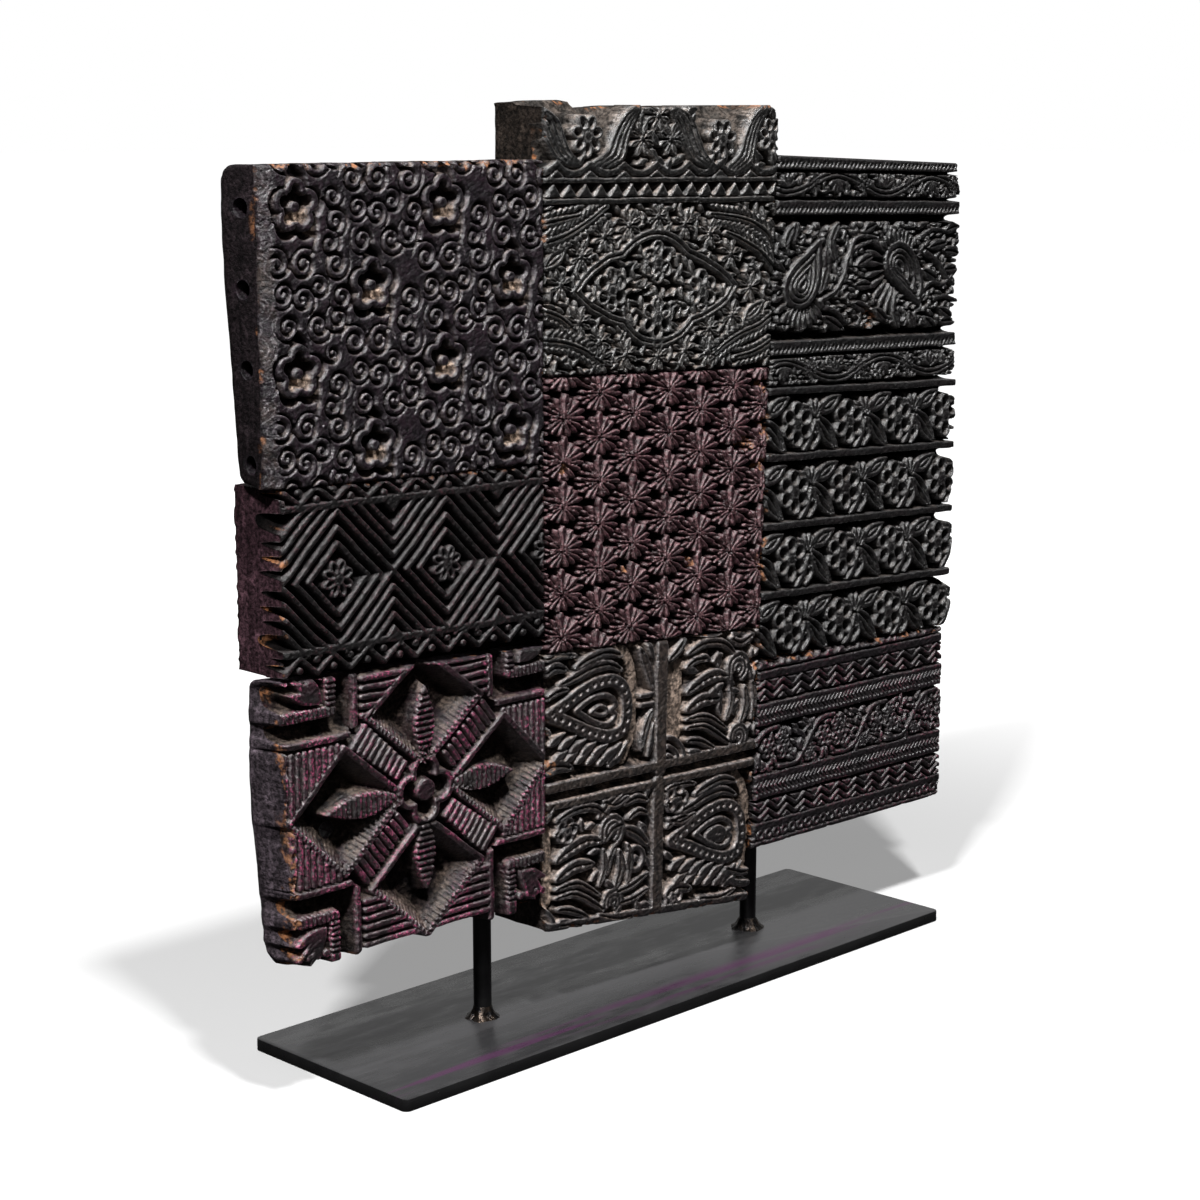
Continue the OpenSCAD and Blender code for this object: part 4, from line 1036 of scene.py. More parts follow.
MEDALLION = [(-50, 322), (-45, 327), (-40, 330.6), (-30, 335.2), (-21.5, 336.6), (-19.5, 338.6),
             (-15, 341.6), (-10, 343.6), (-5, 344.8), (0, 345.2), (5, 344.6), (10, 343.0), (15, 340.2),
             (19.5, 336.6), (30, 333), (40, 328), (45, 325), (50, 320.8), (45, 315.6), (40, 312.6),
             (30, 308.6), (22, 306.8), (19.5, 304.4), (15, 301.2), (10, 299.2), (5, 298), (0, 297.8),
             (-5, 298.2), (-10, 299.4), (-15, 302), (-19, 305.4), (-21, 307.8), (-30, 309.8), (-40, 314.4),
             (-45, 317.6)]
# Feathery sprays in the corners: their ribs, and how long the leaflets are left and right of them
MEDALLION_SPRAYS = [([(-71, 341.5), (-56, 345), (-44, 350), (-31, 357)], 6.5, 5.5),
                    ([(-71, 349.5), (-60, 351.5), (-48, 353)], 5.2, 0),
                    ([(78, 331), (73, 342), (62, 348.5), (48, 351.5), (34, 353)], 5.5, 5.5),
                    ([(76, 328), (66, 336), (55, 341), (44, 344.5)], 0, 5.0),
                    ([(-71, 302), (-57, 300.5), (-46, 297), (-34, 290.5)], 6.0, 5.0),
                    ([(-71, 314), (-60, 311.5), (-50, 305)], 0, 5.0),
                    ([(78, 308), (67, 302.5), (54, 299), (42, 294), (34, 289)], 5.5, 5.5),
                    ([(79, 296), (66, 291), (50, 288.5)], 5.0, 4.5)]
MEDALLION_FLOWERS = [(0, 333), (-28.5, 321.7), (28.5, 319.6), (0, 308.6)]
FIELD_FLOWERS = [(-33, 344.6), (-18, 349), (0, 352.6), (17, 349), (33, 344.6), (-47, 336.6), (47, 335),
                 (-59, 325), (60, 320), (-48, 308.6), (48, 308), (-36, 300), (33, 302.4), (-20, 293.8),
                 (0, 292), (17, 293.4), (-35, 292.5), (32, 292)]
# The top edge: broken off lower at one place, then rising again
CROWN_RISE = ((0, 2.2), (0.08, 3.0), (0.18, 3.2), (0.215, 2.4), (0.235, -1.4), (0.29, 0), (0.4, 1.2),
              (0.47, 0), (0.6, 1.0), (0.96, 1.2), (1, -2.0))
# Left and right edges of the crown's curled leaves
CROWN_LEAVES = [([(-42, 374), (-31, 379.5), (-26, 388.5), (-19, 396), (-11, 399.5)],
                 [(-31, 373.5), (-22, 377.5), (-19, 386), (-15, 393), (-11, 399)]),
                ([(33, 373), (22, 376.5), (16.5, 384), (12, 392), (8, 397.5)],
                 [(36, 374), (29, 379.5), (25, 387), (20, 395), (11, 399)]),
                ([(45, 373.5), (53, 379), (57, 388), (62, 396), (71, 400.5)],
                 [(53, 372.5), (60.5, 377), (63, 385.5), (66, 393), (73, 400)]),
                ([(-50, 374), (-60, 376.5), (-66, 383), (-70, 391), (-73, 397)],
                 [(-48, 375.5), (-54, 380), (-57.5, 386), (-61, 393), (-70, 398)])]


def carve_medallion():
    face = Face("medallion_block", deep=5.5, wall=0.5, slope=0.014, seed=400, rise=CROWN_RISE)
    left, right = -72, 80
    rim = closed(MEDALLION)
    face.keep(path(rim, 3.8))
    face.cut(path(rim, 1.1))
    face.shelf(2.2, path(rim, 1.6))
    for c in MEDALLION_FLOWERS:
        loop_rosette(face, c, 9.6, 6, 0.95, 30)
    for c in FIELD_FLOWERS:
        petals(face, c, 7.3, 8, 2.0, 22.5)
    for rib, left_reach, right_reach in MEDALLION_SPRAYS:
        pinnate(face, rib, left_reach, right_reach)
    for foot, turn in (((-70, 331), 32), ((55, 304.5), 32)):
        face.keep(leaf(foot, turn, 18, 6.5))
        face.cut(leaf(polar(foot, 2.5, turn), turn, 13, 3.4))
        face.keep(leaf(polar(foot, 3.5, turn), turn, 11, 1.3))
    fill_leaves(face, (-71, 285), (78, 357), 3600, 5.0, 1.35, 1.4, 401)
    face.cut(line((left, 363.7), (right, 363.7), 12))
    for z, w in ((359.4, 2.0), (368.2, 1.7)):
        face.keep(line((left, z), (right, z), w))
    for i in range(-1, 17):
        x = -63 + 9.35 * i
        face.keep(polygon([(x - 4.1, 361.3), (x + 4.1, 361.3), (x, 366.6)]))
    for i in range(-1, 8):
        x = -61.5 + 20.2 * i
        face.keep(path([(x + 20.2 * t, 374.8 - 15.2 * t * (1 - t)) for t in np.linspace(0, 1, 11)], 2.5))
        face.keep(polygon([(x - 4.5, 369.4), (x + 4.5, 369.4), (x, 372.2)]))
    for a, b in CROWN_LEAVES:
        for share in (0, 0.33, 0.67, 1):
            face.keep(path(smooth(between(a, b, share)), 1.7))
    for c, r in (((-43, 386.5), 9.2), ((41, 385.6), 9.2), ((74, 387), 8.6)):
        loop_rosette(face, c, r, 7, 1.2, 13)
    for c in ((-10, 385.5), (8, 385.5), (0, 395.5)):
        petals(face, c, 7.6, 8, 2.5, 22.5)
    crown = line((left, 391), (right, 391), 30)
    face.scoop(380, 0.62, crown)
    face.settle_dust_and_light(0.2, crown)
    face.sink(5, oval((-31, 404), 22, 9, 90), oval((30, 404), 18, 11, 90), oval((51, 404), 18, 8, 90))
    fill_leaves(face, (-16, 374), (22, 399), 300, 6.5, 2.6, 1.8, 402)
    fill_leaves(face, (62, 374), (78, 399), 100, 6.5, 2.6, 1.8, 403)
    fill_leaves(face, (-52, 374), (-34, 379), 60, 6.0, 2.2, 1.5, 404)
    fill_leaves(face, (34, 373), (50, 378), 60, 6.0, 2.2, 1.5, 405)
    return face


# Fan flowers, centre

FAN_COLUMNS = (-78, -57, -35.5, -15, 7, 28, 49.3, 70)
FAN_ROW = 18.95
FAN_FIRST = (277.4, 267.8)
# Each petal: its direction, where it starts and ends as shares of the flower, its width
FAN_PETALS = ((62, 0.2, 1.02, 2.0), (38, 0.18, 1.08, 2.1), (15, 0.14, 1.14, 2.1), (-8, 0.14, 1.12, 2.0),
              (-30, 0.2, 1.05, 1.9), (-52, 0.22, 1.0, 1.8), (-76, 0.28, 0.95, 1.7), (87, 0.3, 1.16, 3.0),
              (112, 0.35, 1.0, 1.5), (132, 0.15, 0.6, 1.2), (134, 0.72, 1.08, 1.5), (152, 0.35, 0.75, 1.2),
              (155, 0.87, 1.2, 1.4), (174, 0.12, 0.62, 1.2), (172, 0.74, 1.1, 1.5), (190, 0.4, 0.75, 1.1),
              (191, 0.9, 1.22, 1.3), (208, 0.2, 0.65, 1.2), (210, 0.77, 1.1, 1.4), (230, 0.2, 1.02, 1.5),
              (254, 0.25, 0.95, 1.5))


def carve_fan():
    face = Face("fan_flower_block", deep=6.5, wall=0.45, slope=0.036, seed=500)
    rng = np.random.default_rng(501)
    for i, x in enumerate(FAN_COLUMNS):
        for j in range(-1, 7):
            z = FAN_FIRST[i % 2] - FAN_ROW * j
            c = (x - 0.018 * (270 - z), z)
            for turn, start, end, width in FAN_PETALS:
                a = math.radians(turn + rng.uniform(-4, 4))
                end = end * rng.uniform(0.92, 1.05)
                tip = (c[0] + 10.3 * math.cos(a), c[1] + 8.2 * math.sin(a))
                stroke = [between([c], [tip], start + (end - start) * t)[0] for t in (0, 0.4, 0.8, 1)]
                face.keep(path(stroke, [0.5, 0.55 * width, width, 0.7 * width]))
            face.keep(line((c[0], c[1]), (c[0] + 0.3, c[1] + 6), 0.9))
    face.splinter(disc((60, 250), 4), disc((71, 258), 4.5), disc((71, 240), 4), disc((-57, 245.5), 2.6),
                  disc((72, 276), 3.5), disc((-20, 199), 2), disc((22, 198), 2.4), disc((71, 196), 4.5))
    return face


# Hearts and sprays, bottom middle

HEART = [(-66, 139), (-58, 142.2), (-49, 146.4), (-40, 149.4), (-31, 150.6), (-24, 148.8), (-19.6, 144),
         (-18.4, 138), (-18.8, 131), (-22, 126.4), (-29, 125), (-38, 127.2), (-47, 131), (-57, 135.6)]
INNER_HEART = [(-50, 139.4), (-42, 143), (-34, 144.2), (-28, 142.4), (-25.4, 138.6), (-28.6, 137),
               (-25.8, 134.4), (-28, 131.4), (-33, 130.6), (-41, 133.8)]
HEART_DROP = [(-41, 137.6), (-36, 139.6), (-31.6, 138), (-32, 135.4), (-36, 135.4)]
# The slope at which the hearts were laid on their block
HEART_SLOPE = 0.03
HEART_SHIFT = (76.5, -69.5)
SPRAY_SHIFT = (-83, -64.5)
# Leaves that lick round a heart: their lines and widths
FLAMES = [([(-60, 152), (-50, 154.4), (-40, 157.2), (-30, 157.6), (-22, 154)], 5.2),
          ([(-50, 158.6), (-41, 161.6), (-31, 163), (-21, 160.4)], 5.0),
          ([(-69, 157), (-63, 160), (-56, 158.6)], 5.0), ([(-69, 164), (-60, 165), (-50, 164)], 3.6),
          ([(-10, 162), (-5.6, 153), (-2, 143)], 4.4), ([(-5, 165), (-2, 157)], 3.0),
          ([(-9.4, 116), (-6.6, 125), (-2.4, 133.4)], 3.8), ([(-5, 112.6), (-2.4, 120), (-1.6, 127)], 3.0),
          ([(-31, 113), (-27, 117), (-22, 120.6)], 3.0), ([(-25.6, 112), (-21.6, 116), (-18, 121)], 3.0),
          ([(-20, 112.6), (-17, 117), (-14.6, 123)], 3.2), ([(-69, 146), (-62, 149), (-55, 149.6)], 3.4),
          ([(-69, 114), (-62, 116), (-53, 114)], 6.0), ([(-70, 134), (-66, 131)], 3.0)]
HEART_BAND = [(-21, 164), (-15.6, 157), (-13.4, 149), (-13, 139), (-13.4, 128), (-15.6, 120), (-20, 113)]
SPRAYS = [([(21, 138), (30, 141.8), (40, 143.8), (48, 142)], 6.4),
          ([(21, 129.6), (31, 133), (43, 132.6)], 6.4), ([(20, 125), (34, 125), (48, 117)], 3.4),
          ([(20, 121), (32, 120.6), (44, 114), (50, 110)], 3.4),
          ([(21, 115.6), (30, 113.6), (40, 108.6)], 3.6), ([(22, 110.4), (30, 108.6)], 2.6),
          ([(20, 149.6), (26, 152.4), (34, 152)], 3.6),
          ([(21, 156), (33, 159.4), (45, 158), (53, 152)], 4.4),
          ([(8.6, 155), (14, 158), (19.4, 164)], 4.4), ([(26, 164.6), (38, 163.6), (48, 165)], 3.0),
          ([(47, 122), (51, 130), (49.6, 138)], 3.4), ([(57, 119), (61, 127), (59.6, 136)], 4.6),
          ([(65, 120), (67, 130), (65, 138)], 3.4), ([(50, 160), (57, 157), (65, 160)], 4.0)]
# Leaves of the lower half
LOWER_BLADES = [([(-36, 89), (-29, 94), (-22, 98)], 5.4), ([(-20, 92), (-12, 94), (-5, 91.6)], 4.2),
                ([(-18, 85), (-11, 87.6), (-5, 85.6)], 3.6), ([(-33, 77), (-27, 82), (-21, 83)], 4.0),
                ([(-20, 81), (-12, 77), (-5, 71)], 5.6), ([(-26, 52), (-16, 53.6), (-5, 57.6)], 4.0),
                ([(-24, 46.6), (-14, 47.4), (-5, 50.6)], 3.6), ([(-31, 62), (-29, 69), (-26, 74)], 3.6),
                ([(9, 80), (17, 78), (26, 80.6)], 4.0), ([(30, 39), (42, 36.6), (54, 39)], 3.4),
                ([(48, 50), (58, 46), (66, 46)], 3.6), ([(50, 43.6), (58, 40.6), (66, 40)], 3.2),
                ([(-62, 44), (-50, 42), (-40, 39)], 3.6), ([(-36, 44), (-26, 40), (-14, 39)], 3.6)]


def blade(face, points, width):
    """A leaf that swells along its middle, with a scored vein."""
    curve = smooth(points)
    swell = []
    for k in range(len(curve)):
        share = 0.1 + 0.84 * k / (len(curve) - 1)
        swell.append(max(0.8, width * math.sin(math.pi * share) ** 0.7))
    face.keep(path(curve, swell))
    if width > 3.2:
        face.score(path(curve[1:-1], 0.9))
    return curve


def heart(face, dx, dz):
    outline = smooth(closed(shifted(HEART, dx, dz)))
    face.keep(path(outline, 5.6))
    run = run_along(outline)
    for s in np.arange(1.5, run[-1], 4.5):
        p = point_at(outline, run, s)
        face.cut(disc(p, 1.0))
        face.settle_dust_and_light(1.0, disc(p, 1.2))
    face.keep(path(smooth(closed(shifted(INNER_HEART, dx, dz))), 2.3))
    face.keep(path(smooth(closed(shifted(HEART_DROP, dx, dz))), 1.6 if dx == 0 else 4.0))
    face.settle_dust_and_light(1.0, oval((-23 + dx, 136 + dz), 12, 5, 90))


def flames(face, dx, dz):
    for points, width in FLAMES:
        blade(face, shifted(points, dx, dz), width)
    # Two rows of teeth under the heart
    for i in range(6):
        face.keep(leaf((-67 + 6.6 * i + dx, 125.5 - 2.1 * i + dz), 26, 11.5, 3.4, 0.35))
        face.keep(leaf((-64 + 6.6 * i + dx, 118.5 - 1.5 * i + dz), 26, 9.5, 3.0, 0.35))
    for z in (140.6, 136.2):
        face.keep(line((-9.6 + dx, z + dz), (-1 + dx, z + dz), 2.0))
    band = path(smooth(shifted(HEART_BAND, dx, dz)), 5.4)
    face.cut(band)
    face.shelf(2.6, band)
    face.settle_dust_and_light(1.0, band)


def spray(face, dx, dz):
    for points, width in SPRAYS:
        curve = blade(face, shifted(points, dx, dz), width)
        if width > 5:
            for p in curve[3:-2:2]:
                face.cut(disc(p, 0.95))
    for c, r in (((55, 145.6), 7.0), ((55.5, 112.6), 5.8)):
        for k in (1.0, 0.62, 0.26):
            face.keep(path(arc((c[0] + dx, c[1] + dz), r * k, -60, 200, 12), 1.9))
    for r in (12, 7.8, 3.8):
        face.keep(path(arc((7 + dx, 107 + dz), r, 0, 90, 8), 2.0))
    band = line((14 + dx, 121 + dz), (14.6 + dx, 150 + dz), 11.5)
    face.shelf(3.4, band)
    face.settle_dust_and_light(1.0, band)


def carve_heart():
    face = Face("heart_block", deep=6.5, wall=0.9, slope=HEART_SLOPE, seed=600)
    for dx, dz in ((0, 0), SPRAY_SHIFT):
        spray(face, dx, dz)
    for dx, dz in ((0, 0), HEART_SHIFT):
        flames(face, dx, dz)
        heart(face, dx, dz)
    for points, width in LOWER_BLADES:
        blade(face, points, width)
    face.keep(ring((-13, 65.6), 5.2, 2.2), disc((-13, 65.6), 1.5))
    loop_rosette(face, (14, 89), 7.5, 5, 1.3)
    loop_rosette(face, (-56, 86), 6.5, 5, 1.2)
    loop_rosette(face, (12, 42.5), 6.0, 5, 1.1)
    fill_leaves(face, (22, 106), (70, 164), 500, 7.0, 2.8, 2.2, 601)
    fill_leaves(face, (-61, 40), (-5, 98), 500, 7.0, 2.8, 2.4, 602)
    face.splinter(disc((66, 146), 3.5), disc((56, 31), 3), disc((68, 86), 2.5), disc((-66, 116), 3))
    rails = (line((-75, 106.8), (75, 106.8), 4.0), line((-75, 98.6), (75, 98.6), 3.2),
             line((4.4, 170), (2.9, 105), 6.4), line((2.0, 99), (0.2, 30), 6.4))
    foot = line(*((x, z + HEART_SLOPE * x + 1.8) for x, z in face.corners()[:2]), 4.0)
    face.cut(line((-75, 102.7), (75, 102.7), 12), line((4.2, 170), (0.2, 30), 8.5), foot)
    face.keep(foot)
    face.keep(*rails)
    face.weather(0.1, *rails)
    return face


# Paisleys between vines, top right

PAISLEY_LEFT = [(106.5, 335), (100, 330.5), (93, 326), (88, 321), (86.8, 316.5), (89.4, 312.2), (95, 310.4),
                (101, 312.2), (105, 317), (107, 324)]
PAISLEY_RIGHT = [(181, 311.5), (172, 317), (163.5, 322.6), (160, 328), (161.6, 333), (167, 335.4),
                 (173.6, 333.4), (179, 328), (182.6, 320)]
# Each paisley, its middle, and the leaves that fan out from it: from and to which angle, how many, how far
# out and how long
PAISLEYS = [(PAISLEY_LEFT, (97, 318.5), ((150, 230, 6, 13.6, 8.5), (238, 325, 8, 11.0, 9.5))),
            (PAISLEY_RIGHT, (167.5, 327), ((55, 140, 8, 10.4, 7.0), (150, 262, 9, 10.8, 14.0)))]
PAISLEY_STEMS = [[(111, 311), (120, 315), (127, 323), (130, 331), (137, 336), (149, 338.6)],
                 [(131, 332), (134, 339), (141, 341), (150, 340)], [(112, 308), (121, 306), (129, 300)],
                 [(183, 345), (193, 349), (204, 348), (214, 345)], [(184, 340), (194, 344), (206, 342)],
                 [(188, 333), (198, 328), (206, 320), (214, 316)],
                 [(184, 312), (193, 318), (203, 317), (214, 325)], [(196, 310), (205, 311), (214, 309)]]
# Each large leaf: foot, direction, length
PAISLEY_LEAVES = [((110, 314), 70, 17), ((115, 322), 95, 15), ((121, 328), 110, 14), ((117, 338), 60, 11),
                  ((135, 327), 20, 14), ((134, 318), 0, 14), ((133, 310), -20, 14), ((140, 343), 20, 11),
                  ((112, 304), -25, 17), ((84, 336), 60, 12), ((90, 338), 75, 12), ((150, 307), -35, 13),
                  ((165, 307), -70, 12), ((176, 305), -60, 12), ((186, 325), -25, 14), ((190, 335), 10, 16),
                  ((188, 302), -35, 14), ((199, 306), -25, 16), ((200, 299), 0, 15), ((202, 334), -8, 14),
                  ((202, 324), 5, 13), ((203, 343), 12, 12)]
# Where lines across the right blocks start and end
RIGHT_COLUMN = (66, 220)
# How far the carving stands out over the right edge at each height
PAISLEY_FRAY = ((270, -3), (273, -1.2), (276, 1.2), (284.4, 0.8), (285.2, -2.4), (286.6, -2.4), (287, 1.6),
                (293, 1.6), (293.4, -2.8), (296.6, -2.6), (298, 1.2), (301.5, -2.2), (306, -2),
                (308.5, 2.2), (311, 1.6), (314, -1), (319, -0.6), (322, 1.4), (328, 0.6), (332, 2.4),
                (346, 2.4), (348, -1.6), (350.8, -1.6), (351.2, 2), (357.2, 2), (357.6, -1.6),
                (359.4, -1.6), (360.4, 2), (366, 1), (370, 0.2), (371, -2.6), (371.4, -2.6), (371.7, -0.8),
                (380, -1))


def across_right(z, width):
    return line((RIGHT_COLUMN[0], z), (RIGHT_COLUMN[1], z), width)


def vine(face, low, high, first, half, seed):
    """A waving stem between two heights, high at first, with sprigs in its bays."""
    points = []
    middle, swing = (low + high) / 2, (high - low) / 2
    for i in range(-20, 60):
        x = first + half * i / 8
        points.append((x, middle + swing * 0.86 * math.cos(math.pi * i / 8)))
    face.keep(path(shifted(points, 0, 1.0), 1.3), path(shifted(points, 0, -1.3), 1.3))
    for i in range(-3, 8):
        x = first + half * i
        sign = 1 if i % 2 else -1
        z = middle + sign * swing * 0.38
        for turn in (25, 60, 90, 120, 155):
            face.keep(leaf((x, middle - sign * swing * 0.35), turn * sign, swing * 1.25, 2.2, 0.6))
        for s in (-1, 1):
            petals(face, (x + s * half * 0.52, middle - s * 0.1 + sign * swing * 0.1), swing * 0.72, 6, 2.0)
        face.keep(disc((x, z), 0.9))
    fill_leaves(face, (70, low - 0.5), (216, high + 0.5), 1600, 3.4, 1.3, 1.05, seed)


def beaded_rail(face, z, width):
    face.cut(across_right(z, width + 4))
    face.keep(across_right(z, width))
    for x in np.arange(70, 216, 2.9):
        face.cut(oval((x, z - 0.9), 2.9, 1.5, 48))


def carve_paisley():
    face = Face("paisley_block", deep=7.5, wall=0.7, slope=0.028, level_x=80, seed=700, fray=PAISLEY_FRAY)
    for outline, centre, fans in PAISLEYS:
        for k, width in ((1.2, 2.4), (0.84, 1.4), (0.54, 1.3), (0.26, 1.3)):
            face.keep(path(smooth(closed(scaled(outline, centre, k)), 3), width))
        for start, end, count, reach, length in fans:
            for i in range(count):
                a = start + (end - start) * i / (count - 1)
                face.keep(leaf(polar(centre, reach, a), a, length, 2.6, 0.66))
    for points in PAISLEY_STEMS:
        face.keep(path(smooth(points), 2.2, 1.4))
    for foot, turn, length in PAISLEY_LEAVES:
        face.keep(leaf(foot, turn, length, 5.2))
        face.score(line(polar(foot, 2, turn), polar(foot, length - 2, turn), 0.9))
    fill_leaves(face, (76, 298), (214, 347), 3000, 3.6, 1.4, 1.3, 701)
    vine(face, 360, 370.6, 121, 35.5, 702)
    vine(face, 273.4, 285, 84.5, 36.5, 703)
    for z in (374.7, 354.2, 290.0):
        beaded_rail(face, z, 6.0)
    face.cut(across_right(348.6, 2.4), across_right(295, 3.2))
    face.splinter(oval((147, 304), 11, 4, -25), oval((145, 299), 8, 3.4, 15))
    face.sink(3.0, oval((147, 304), 9, 3.4, -25))
    return face


# Rows of flowers, middle right

FLOWER_ROWS = [(95, 254.1), (93.4, 222.4), (91.8, 190.4), (90.2, 158.1)]
FLOWER_STEP = 37.4
ROW_RAILS = (270.2, 239.2, 207, 174.7)
# How far a flower and a rail stand out over the right edge, at heights from their middles
FLOWER_FRAY = ((-11.5, -2.6), (-7, 1.0), (0, 2.2), (8, 1.6), (10.5, -2.4))
RAIL_FRAY = ((-1.9, -2.6), (-1.5, 1.4), (1.5, 1.4), (1.9, -2.6))
# The pair of leaves that hang beside a flower's stalk, each split by grooves: strokes seen from the flower's
# middle, with their widths at the start and the end
FLOWER_STROKES = [([(12, -0.5), (9.6, -6.5), (4, -13.6)], [1.8] * 6 + [2.3] * 5, None),
                  ([(12.6, 1), (15.6, -4), (15.4, -8), (11, -12.4)], 2.0, 1.4),
                  ([(14.4, 3.4), (23, -1), (29, -12.4)], 1.6, 0.9),
                  ([(14.6, 1), (21, -4.6), (28, -12.8)], 1.4, 0.9),
                  ([(16.4, -3), (19.6, -8), (27, -13)], 1.4, 0.9)]


def carve_flower_rows():
    fray = [(z + height, out) for _, z in FLOWER_ROWS for height, out in FLOWER_FRAY]
    fray += [(z + height, out) for z in ROW_RAILS for height, out in RAIL_FRAY]
    fray.sort()
    face = Face("flower_row_block", deep=8.4, wall=0.55, slope=0.043, level_x=80, seed=800, fray=fray)
    for fx, fz in FLOWER_ROWS:
        for i in range(-1, 4):
            x = fx + FLOWER_STEP * i
            c = (x, fz)
            # The leaf that points up, hollowed, with its vein
            face.keep(leaf((x + 14.5, fz + 4.5), 27, 19, 7.6, 0.45))
            face.cut(leaf((x + 18, fz + 6.4), 27, 12, 4.0, 0.45))
            face.keep(leaf((x + 19, fz + 7), 27, 9, 1.5))
            for turn in (48, 76, 104, 132):
                face.keep(leaf((x + 11.5, fz + 3.5), turn, 8.5, 2.1, 0.66))
            for points, width, end_width in FLOWER_STROKES:
                face.keep(path(smooth(shifted(points, x, fz)), width, end_width))
            face.keep(disc((x + 13.2, fz - 4.4), 0.9))
            face.cut(disc(c, 10.6))
            loop_rosette(face, c, 10.8, 6, 0.95, 30)
    for z in ROW_RAILS:
        face.cut(across_right(z, 5.4))
        face.keep(across_right(z, 3.1))
    return face


# Bands of a border, bottom right

BORDER_TOOTH = 13.05
# The waving stem, and the flowers about it with their radii, seen from where a wave starts
BORDER_STEM = [(-12, 91), (0, 91), (7, 97), (12, 104), (18, 109.4), (28, 110.4)]
BORDER_FLOWERS = (((21, 101), 5.4), ((-8, 99), 5.2), ((31, 105.6), 4.4), ((10, 93.6), 3.6))


def herringbone(face, z, half):
    for x in np.arange(66, 214, 2.9):
        face.cut(path([(x + 2.7, z + half), (x, z), (x + 2.7, z - half)], 1.05))


def carve_border():
    face = Face("border_block", deep=5.0, wall=0.62, slope=0.012, level_x=80, seed=900)
    left, right = 64, 216
    face.keep(line((left, 141.6), (right, 141.6), 3.0))
    for x in np.random.default_rng(901).uniform(left, right, 34):
        face.cut(oval((x, 142.4), 4.0, 2.6, 20))
    for z, w in ((136.9, 3.6), (118, 10.2), (83, 11.2), (63.6, 3.2), (54.9, 2.6)):
        face.keep(line((left, z), (right, z), w))
    herringbone(face, 118, 2.9)
    herringbone(face, 82.6, 2.8)
    for base, first in ((126.2, 74), (67.4, 77.6)):
        face.keep(zigzag(first - BORDER_TOOTH, right, base + 3.6, base + 7.6, BORDER_TOOTH, 1.5))
        face.keep(zigzag(first - BORDER_TOOTH, right, base - 0.6, base + 3.6, BORDER_TOOTH, 1.5))
        for i in range(-1, 12):
            x = first + BORDER_TOOTH * i
            face.keep(polygon([(x - 3.0, base - 1.3), (x + 3.0, base - 1.3), (x, base + 0.9)]))
            x = x + BORDER_TOOTH / 2
            face.keep(polygon([(x, base + 5.2), (x + 3.2, base + 8), (x - 3.2, base + 8)]))
    for i in range(-1, 4):
        x = 97 + 40.5 * i
        face.keep(path(smooth(shifted(BORDER_STEM, x, 0)), 1.8))
        for (dx, z), r in BORDER_FLOWERS:
            loop_rosette(face, (x + dx, z), r, 6, 0.8)
    fill_leaves(face, (68, 90.5), (212, 110.5), 1600, 4.6, 1.8, 1.3, 902)
    for x in np.arange(66.5, 214, 5.75):
        face.keep(ring((x, 59.4), 1.95, 1.5))
    return face


# The air holes: the heights of those in the plum block's side and the places of those in the four petals,
# from where to where they are bored, and their diameters
SIDE_HOLES = (361.5, 330.7, 300.1, 263.5)
SIDE_BORE = ((-220, -9.0), (-180, -9.0))
SIDE_HOLE_WIDTH = 7.6
PETAL_HOLES = ((-131.0, 161.0), (-98.8, 136.6), (-183.5, 113.0), (-130.0, 90.0))
PETAL_BORE = (-30, 10)
PETAL_HOLE_WIDTH = 7.4


